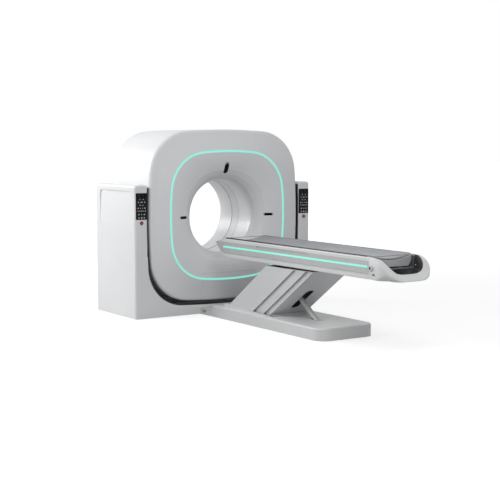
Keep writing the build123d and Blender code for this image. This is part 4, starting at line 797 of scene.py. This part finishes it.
class SCANNER_OT_table(bpy.types.Operator):
    """Finish the patient table, its column and its base"""

    bl_idname = "scanner.table"
    bl_label = "Finish table"

    def execute(self, context):
        dress("rail_paint", "side_rails")
        dress("table_white", "front_cap", "underside_pan", "base_cover")
        dress("table_white", "column_front_cover", "column_mid_cover", "column_rear_cover")
        dress("light_guide", "rail_lights")
        dress("cradle_laminate", "cradle")
        dress("frame_steel", "carriage_deck", "table_frame", "front_arm", "rear_arm", "mid_links")
        dress("strut_alloy", "strut_tube")
        dress("chrome_rod", "strut_rod")
        dress("motor_grey", "cradle_motor")
        dress("knob_grey", "right_knob", "left_knob")
        return {"FINISHED"}


def eased(share):
    """Smooth step from 0 to 1."""
    share = min(1.0, max(0.0, share))
    return share * share * (3 - 2 * share)


class SCANNER_OT_foot(bpy.types.Operator):
    """Model the bright band of the table's foot end, and a near-black sheet in it that paints the shade of
    its hollow
    """

    bl_idname = "scanner.foot"
    bl_label = "Model foot end"

    def execute(self, context):
        self.sizes = context.scene.scanner_sizes
        self.low, self.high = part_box("foot_scoop")
        path = self.path(self.high.x, self.sizes.band_corner)
        band, shade_sheet = Shape(), Shape()
        band.skin([self.place(station, self.band_outline(station)) for station in path])
        shade_sheet.skin([self.place(station, self.shade_sheet_outline(station)) for station in path])
        self.plate(band, path, 0)
        self.plate(band, path, -1)
        self.plate(shade_sheet, path, SHADE_SHEET_FOOT)
        piece = band.piece("foot_band", "table_top", [finish_of("table_white")], "table_white", 40)
        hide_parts("foot_scoop")
        # Painted shade: this near-black sheet stands where the foot end's hollow would only fall into shade
        piece = shade_sheet.piece("foot_painted_shade", "table_top", [finish_of("painted_shade_black")], "black_plastic", 40)
        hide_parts("foot_liner")
        return {"FINISHED"}

    def path(self, half, radius):
        """Stations round the foot end's plan, from left rail to right: place, inward way, run so far."""
        start, end = self.high.y - 0.0002, self.low.y + 0.002
        turn = end + radius
        points = [((-half, start + (turn - start) * k / 16), (1, 0)) for k in range(16)]
        for k in range(25):
            a = pi + pi / 2 * k / 24
            points.append(((radius - half + radius * cos(a), turn + radius * sin(a)), (-cos(a), -sin(a))))
        points += [((-half + radius + (half - radius) * k / 8, end), (0, 1)) for k in range(1, 9)]
        stations, run = [], 0.0
        for k, (point, inward) in enumerate(points):
            if k:
                run += hypot(point[0] - points[k - 1][0][0], point[1] - points[k - 1][0][1])
            stations.append((point, inward, run))
        mirrored = [((-x, y), (-nx, ny), run) for (x, y), (nx, ny), run in stations[:-1]]
        return stations + mirrored[::-1]

    def heights(self, station):
        """Heights of the band's outer and inner edges, which fall from the rail's top to the lip."""
        run, top, base = station[2], self.high.z, self.low.z
        outer = top - (top - base - OUTER_LIP) * eased((run - FALL_START) / OUTER_FALL)
        inner = top - (top - base - INNER_LIP) * eased((run - FALL_START) / INNER_FALL)
        return outer, inner

    def width(self, station):
        """The band starts as narrow as the rail's top and widens to its full width."""
        start = self.high.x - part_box("cradle")[1].x - 0.006
        return start + (self.sizes.band - start) * eased(station[2] / WIDEN_RUN)

    def place(self, station, outline):
        """Points of an outline given as inward distance and height; the underside sags to the lip."""
        (x, y), (nx, ny), run = station
        top, base = self.high.z, self.low.z
        points = []
        for n, z in outline:
            out = (self.high.y - y - ny * n) / (self.high.y - self.low.y)
            sag = self.sizes.band_sag * max(0.0, out) ** 2 * (top - z) / (top - base)
            points.append((x + nx * n, y + ny * n, z - sag))
        return points

    def band_outline(self, station):
        """Section of the band: rounded belly, outer face, rounded rim and inner face."""
        (outer, inner), under = self.heights(station), self.low.z
        width, tall = self.width(station), outer - under
        grown = eased((station[2] - BELLY_START) / BELLY_RUN)
        belly, least = self.sizes.band_belly, 0.003
        rise = min(least + belly * grown, 0.70 * tall)
        reach = least + min(belly, 0.030 + tall * 0.6) * grown
        edge = min(0.006, 0.25 * tall)
        outline = [(max(reach, width) + 0.008, under)]
        for k in range(11):
            a = pi / 2 * k / 10
            outline.append((reach * (1 - sin(a)), under + rise * (1 - cos(a))))
        outline += [(0.0, outer - edge), (edge * 0.3, outer - edge * 0.3), (edge, outer)]
        outline += [(width - edge, inner), (width - edge * 0.3, inner - edge * 0.3), (width, inner - edge)]
        outline += [(width, under + 0.020), (width + 0.008, under + 0.012)]
        return outline

    def shade_sheet_outline(self, station):
        """Section of the painted-shade sheet: a thin wall with a rounded foot, and two steps that run round
        inside.
        """
        near, floor = self.width(station) + SHADE_SHEET_GAP, self.low.z + SHADE_SHEET_FLOOR
        tall = max(self.heights(station)[1] - 0.004 - floor, 0.01)
        curve = min(0.05, 0.8 * tall)
        outline = [(near, floor + tall)]
        for k in range(9):
            a = pi / 2 * k / 8
            outline.append((near + curve * (1 - cos(a)), floor + curve * (1 - sin(a))))
        for n, z in reversed(outline[:]):
            share = (z - floor) / tall
            step = SHADE_SHEET_STEP * ((share < 0.62) + (share < 0.3))
            outline.append((n + SHADE_SHEET_WALL + step, z + SHADE_SHEET_WALL))
        return outline

    def plate(self, shape, path, corner):
        """Floor across the foot end, from one corner of each section to its mirror."""
        outline = self.shade_sheet_outline if corner == SHADE_SHEET_FOOT else self.band_outline
        rows = []
        for station in path[:len(path) // 2 + 1]:
            x, y, z = self.place(station, outline(station))[corner]
            rows.append(shape.add([(x * (1 - 2 * k / 8), y, z) for k in range(9)]))
        for a, b in zip(rows, rows[1:]):
            for k in range(8):
                shape.face((a[k], a[k + 1], b[k + 1], b[k]))


def digit(shape, place, at, text, height, low, high, finish):
    """Seven-segment numbers, slightly slanted."""
    u, v = at
    w, t = height * 0.5, height * 0.11
    half = height / 2
    bars = {
        "a": (0, height, w, height), "b": (w, half, w, height), "c": (w, 0, w, half), "d": (0, 0, w, 0),
        "e": (0, 0, 0, half), "f": (0, half, 0, height), "g": (0, half, w, half),
    }
    for character in text:
        if character == ".":
            points = rounded(t * 1.4, t * 1.4, t * 0.3, 2)
            flat_mark(shape, place, [(u - w * 0.22 + x, v + y) for x, y in points], low, high, finish)
            continue
        for name in SEGMENTS.get(character, ""):
            x0, y0, x1, y1 = bars[name]
            level = y0 == y1
            long = (w if level else half) - t * 1.3
            size = (long, t) if level else (t, long)
            mx, my = (x0 + x1) / 2, (y0 + y1) / 2
            points = rounded(size[0], size[1], t * 0.4, 2)
            points = [(u + mx + x + (my + y) * 0.1, v + my + y) for x, y in points]
            flat_mark(shape, place, points, low, high, finish)
        u += w * 1.75


def key_mark(kind, size):
    """Outline of a generic key mark about its middle."""
    s = size / 2
    shapes = {
        "up": [(-s, -s * 0.6), (s, -s * 0.6), (0, s)],
        "down": [(-s, s * 0.6), (0, -s), (s, s * 0.6)],
        "left": [(s * 0.6, -s), (s * 0.6, s), (-s, 0)],
        "right": [(-s * 0.6, -s), (s, 0), (-s * 0.6, s)],
        "bar": rounded(size * 1.9, size * 0.42, size * 0.12, 2),
        "stick": rounded(size * 0.4, size * 1.5, size * 0.12, 2),
        "square": rounded(size, size, size * 0.15, 2),
        "dot": [(s * cos(2 * pi * k / 20), s * sin(2 * pi * k / 20)) for k in range(20)],
    }
    return shapes[kind]


class SCANNER_OT_panels(bpy.types.Operator):
    """Build the keys, marks and display of the two control panels"""

    bl_idname = "scanner.panels"
    bl_label = "Build control panels"

    def execute(self, context):
        sizes = context.scene.scanner_sizes
        low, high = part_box("keypads")
        inner = min(v.co.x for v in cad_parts["keypads"].data.vertices if v.co.x > 0)
        for side, name in ((-1, "left"), (1, "right")):
            place = facing((side * (inner + high.x) / 2, low.y, high.z), (1, 0, 0), (0, 0, 1))
            self.keys(place, high.x - inner, name, sizes)
        return {"FINISHED"}

    def keys(self, place, width, name, sizes):
        shape = Shape()
        rise, print_rise = sizes.key_rise, sizes.legend_rise
        glass = 0.0007
        button(shape, place, (0, -DISPLAY_DROP), (width * 0.80, DISPLAY_HEIGHT), 0.003, glass, 0.0004, 0)
        for text, u, v in READINGS:
            digit(shape, place, (u, v), text, READING_HEIGHT, glass, glass + print_rise, 3)
        for drop, size, pitch, marks in KEY_ROWS:
            first = -pitch * (len(marks) - 1) / 2
            for k, kind in enumerate(marks):
                at = (first + k * pitch, -drop)
                button(shape, place, at, size, 0.0025, rise, 0.0004, 1)
                outline = [(at[0] + x, at[1] + y) for x, y in key_mark(kind, min(size) * 0.62)]
                flat_mark(shape, place, outline, rise, rise + print_rise, 2)
        finishes = [finish_of(name) for name in ("window_black", "key_grey", "legend", "display_digits")]
        shape.piece(f"{name}_panel_keys", "stand_and_base", finishes, "panel_black")


def pad_floor(x):
    """Height of the cradle's trough under the pad."""
    half = PAD["half"]
    return PAD["edge"] - PAD["dip"] * (1 - min(1.0, abs(x) / half) ** 2)


def measure_pad():
    """The pad's CAD solid gives its place: half width, ends, edge height, dip and thickness."""
    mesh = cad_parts["mattress"].data
    points = [v.co for v in mesh.vertices]
    low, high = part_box("mattress")
    middle = [p.z for p in points if abs(p.x) < 0.001]
    edge = min(p.z for p in points if abs(abs(p.x) - high.x) < 0.0005)
    PAD.update(half=high.x, head=high.y, foot=low.y)
    PAD.update(edge=edge, dip=edge - min(middle), thick=max(middle) - min(middle))


def pad_outline(y, sizes):
    """Half width of the pad at that place, its ends rounded and its long sides pulled in."""
    head, foot = PAD["head"], PAD["foot"]
    along = (y - foot) / (head - foot)
    waist = sizes.pad_waist * (1 - (2 * along - 1) ** 6)
    half = PAD["half"] - PAD_INSET - waist
    for end, radius in ((head, HEAD_CORNER), (foot, FOOT_CORNER)):
        reach = abs(end - y)
        if reach < radius:
            half -= radius - sqrt(max(0.0, radius ** 2 - (radius - reach) ** 2))
    return half


def pad_section(y, sizes, grow=0.0, count=22):
    """Closed loop round the pad at that place: over the crowned top, back along the trough."""
    half, thick = pad_outline(y, sizes) + grow, PAD["thick"]
    loop = []
    for k in range(count + 1):
        x = half * cos(pi * k / count)
        crown = PAD_RIM + (1 - PAD_RIM) * (1 - (x / half) ** 8)
        crown *= thick * min(1.0, 6 * sin(pi * k / count))
        loop.append((x, y, pad_floor(x) + PAD_LIFT + max(crown, thick * 0.1)))
    for k in range(count - 1, 0, -1):
        x = half * cos(pi * k / count)
        loop.append((x, y, pad_floor(x) + PAD_LIFT))
    return loop


class SCANNER_OT_pad(bpy.types.Operator):
    """Fill and sew the pad that lies on the cradle"""

    bl_idname = "scanner.pad"
    bl_label = "Sew table pad"

    def execute(self, context):
        sizes = context.scene.scanner_sizes
        measure_pad()
        head, foot = PAD["head"] - 0.004, PAD["foot"] + 0.004
        ends = (0.0005, 0.003, 0.008, 0.016, 0.028, 0.04)
        rows = [foot + e for e in ends]
        rows += [foot + 0.06 + (head - foot - 0.12) * k / 60 for k in range(61)]
        rows += [head - e for e in reversed(ends)]
        shape = Shape()
        shape.skin([pad_section(y, sizes) for y in rows])
        cloth = pad_cloth(context.scene.scanner_colours.pad, PAD["half"], STITCH_IN)
        pad = shape.piece("table_pad", "cradle", [cloth], "mattress_fabric", 60)
        self.fill(context, pad, sizes)
        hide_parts("mattress")
        self.piping(rows, sizes)
        return {"FINISHED"}

    def fill(self, context, pad, sizes):
        """Puff the cover with cloth pressure, then hold each point near its start and off the cradle."""
        remesh = pad.modifiers.new("Even mesh", "REMESH")
        remesh.mode, remesh.voxel_size, remesh.use_smooth_shade = "VOXEL", sizes.pad_voxel, True
        even = bpy.data.meshes.new_from_object(pad.evaluated_get(context.evaluated_depsgraph_get()))
        pad.modifiers.clear()
        pad.data = even
        start = [v.co.copy() for v in even.vertices]
        cloth = pad.modifiers.new("Fill", "CLOTH")
        cloth.settings.use_pressure = True
        cloth.settings.uniform_pressure_force = FILL_PRESSURE
        cloth.settings.effector_weights.gravity = 0.0
        cloth.settings.quality = 4
        cloth.point_cache.frame_start, cloth.point_cache.frame_end = 1, FILL_STEPS
        for step in range(1, FILL_STEPS + 1):
            context.scene.frame_set(step)
        puffed = bpy.data.meshes.new_from_object(pad.evaluated_get(context.evaluated_depsgraph_get()))
        pad.modifiers.clear()
        context.scene.frame_set(1)
        pad.data = puffed
        for vertex, first in zip(puffed.vertices, start):
            move = vertex.co - first
            if move.length > sizes.pad_swell:
                move *= sizes.pad_swell / move.length
            held = first + move
            held.z = max(held.z, pad_floor(held.x) + PAD_LIFT)
            vertex.co = held
        puffed.shade_smooth()

    def piping(self, rows, sizes):
        """Cord sewn round the pad's edge."""
        middle = 0.5 * PAD["thick"] * PAD_RIM
        right = [(pad_outline(y, sizes) + sizes.pad_swell * 0.4, y) for y in rows]
        path = right + [(-x, y) for x, y in reversed(right)]
        radius = sizes.piping
        shape, count = Shape(), len(path)
        circle = [(radius * cos(pi * k / 4), radius * sin(pi * k / 4)) for k in range(8)]
        rings = []
        for k, (x, y) in enumerate(path):
            ax, ay = path[k - 1]
            bx, by = path[(k + 1) % count]
            run = hypot(bx - ax, by - ay) or 1.0
            nx, ny = (by - ay) / run, -(bx - ax) / run
            z = pad_floor(x) + PAD_LIFT + middle + radius
            rings.append([(x + nx * r, y + ny * r, z + rise) for r, rise in circle])
        shape.skin(rings + rings[:1], start=False, end=False)
        cloth = pad_cloth(bpy.context.scene.scanner_colours.pad, 1.0, 0.0)
        shape.piece("pad_piping", "cradle", [cloth], "mattress_fabric", 80)


class SCANNER_OT_trim(bpy.types.Operator):
    """Run the rubber edge along the cradle"""

    bl_idname = "scanner.trim"
    bl_label = "Fit cradle trim"

    def execute(self, context):
        sizes = context.scene.scanner_sizes
        low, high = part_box("cradle")
        top = high.z + 0.0025
        for side, name in ((-1, "left"), (1, "right")):
            profile = [(0.0, -sizes.trim), (0.003, -sizes.trim + 0.001), (0.0034, -0.002), (0.0022, 0.0)]
            profile += [(-0.003, 0.0006), (-0.0045, -0.0008), (-0.003, -0.0022), (0.0, -0.0022)]
            rings = []
            first, last = low.y + 0.052, high.y - 0.045
            for k in range(41):
                y = first + (last - first) * k / 40
                shrink = min(1.0, 0.15 + 3 * min(k, 40 - k) / 3)
                rings.append([(side * (high.x + u * shrink), y, top + v) for u, v in profile])
            shape = Shape()
            shape.skin(rings)
            shape.piece(f"{name}_cradle_trim", "cradle", [finish_of("black_plastic")], "black_plastic", 40)
        return {"FINISHED"}


def cap_screw(shape, place, radius, sunk=0.0003):
    """Low domed screw with a hexagon socket."""
    angles = [2 * pi * k / 24 for k in range(24)]
    rise, key = radius * 0.32, radius * 0.46
    hexagon = [key / cos((a + pi / 6) % (pi / 3) - pi / 6) for a in angles]
    rings = [[place(radius * cos(a), radius * sin(a), -sunk) for a in angles]]
    for share, w in ((1.0, rise * 0.25), (0.93, rise * 0.7), (0.78, rise)):
        rings.append([place(radius * share * cos(a), radius * share * sin(a), w) for a in angles])
    for w in (rise, rise - radius * 0.5):
        rings.append([place(h * cos(a), h * sin(a), w) for h, a in zip(hexagon, angles)])
    shape.skin(rings, 0, start=False)


class SCANNER_OT_screws(bpy.types.Operator):
    """Set the screws of the rear cover"""

    bl_idname = "scanner.screws"
    bl_label = "Set cover screws"

    def execute(self, context):
        radius = context.scene.scanner_sizes.screw
        rear = Shape()
        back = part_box("rear_cover")[1].y
        for k in range(REAR_SCREWS):
            a = 2 * pi * (k + 0.5) / REAR_SCREWS
            x, z = OVAL_X * cos(a), OVAL_MIDDLE + OVAL_Z * sin(a)
            cap_screw(rear, facing((x, back, z), (-1, 0, 0), (0, 0, 1)), radius * 1.3)
        rear.piece("rear_cover_screws", "gantry", [finish_of("bright_steel")], "bright_steel")
        return {"FINISHED"}


class SCANNER_OT_rails(bpy.types.Operator):
    """Fit the small parts of the table's sides: knob plugs and end marks"""

    bl_idname = "scanner.rails"
    bl_label = "Fit rail parts"

    def execute(self, context):
        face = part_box("side_rails")[1].x
        for side, name in ((-1, "left"), (1, "right")):
            low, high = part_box(f"{name}_knob")
            outer = low.x if side < 0 else high.x
            y, z = (low.y + high.y) / 2, (low.z + high.z) / 2
            place = facing((outer, y, z), (0, side, 0), (0, 0, 1))
            plug = Shape()
            turned(plug, place, PLUG)
            plug.piece(f"{name}_knob_plug", f"{name}_knob", [finish_of("black_plastic")], "black_plastic")
            arrow = Shape()
            place = facing((side * face, *END_MARK_AT), (0, side, 0), (0, 0, 1))
            flat_mark(arrow, place, [(u * side, v) for u, v in END_MARK], -0.0002, 0.0003, 0)
            arrow.piece(f"{name}_end_mark", "table_top", [finish_of("black_plastic")], "black_plastic")
        return {"FINISHED"}


# Panel and registration
OPERATORS = (
    SCANNER_OT_stage, SCANNER_OT_gantry, SCANNER_OT_stand, SCANNER_OT_works, SCANNER_OT_table,
    SCANNER_OT_foot, SCANNER_OT_panels, SCANNER_OT_pad, SCANNER_OT_trim, SCANNER_OT_screws, SCANNER_OT_rails,
)


class SCANNER_PT_dressing(bpy.types.Panel):
    """Lists the pieces and the values that they are made from"""

    bl_idname = "SCANNER_PT_dressing"
    bl_label = "CT scanner"
    bl_space_type = "VIEW_3D"
    bl_region_type = "UI"
    bl_category = "Scanner"

    def draw(self, context):
        column = self.layout.column()
        for operator in OPERATORS:
            column.operator(operator.bl_idname)
        for group in (context.scene.scanner_sizes, context.scene.scanner_colours):
            box = self.layout.box()
            for name in group.__annotations__:
                box.prop(group, name)


CLASSES = (ScannerSizes, ScannerColours, *OPERATORS, SCANNER_PT_dressing)


def register():
    for entry in CLASSES:
        bpy.utils.register_class(entry)
    bpy.types.Scene.scanner_sizes = PointerProperty(type=ScannerSizes)
    bpy.types.Scene.scanner_colours = PointerProperty(type=ScannerColours)


def unregister():
    del bpy.types.Scene.scanner_colours
    del bpy.types.Scene.scanner_sizes
    for entry in reversed(CLASSES):
        bpy.utils.unregister_class(entry)


def main():
    register()
    for operator in OPERATORS:
        group, name = operator.bl_idname.split(".")
        if getattr(getattr(bpy.ops, group), name)() != {"FINISHED"}:
            raise RuntimeError(f"{operator.bl_label} did not finish")


if __name__ == "__main__":
    main()
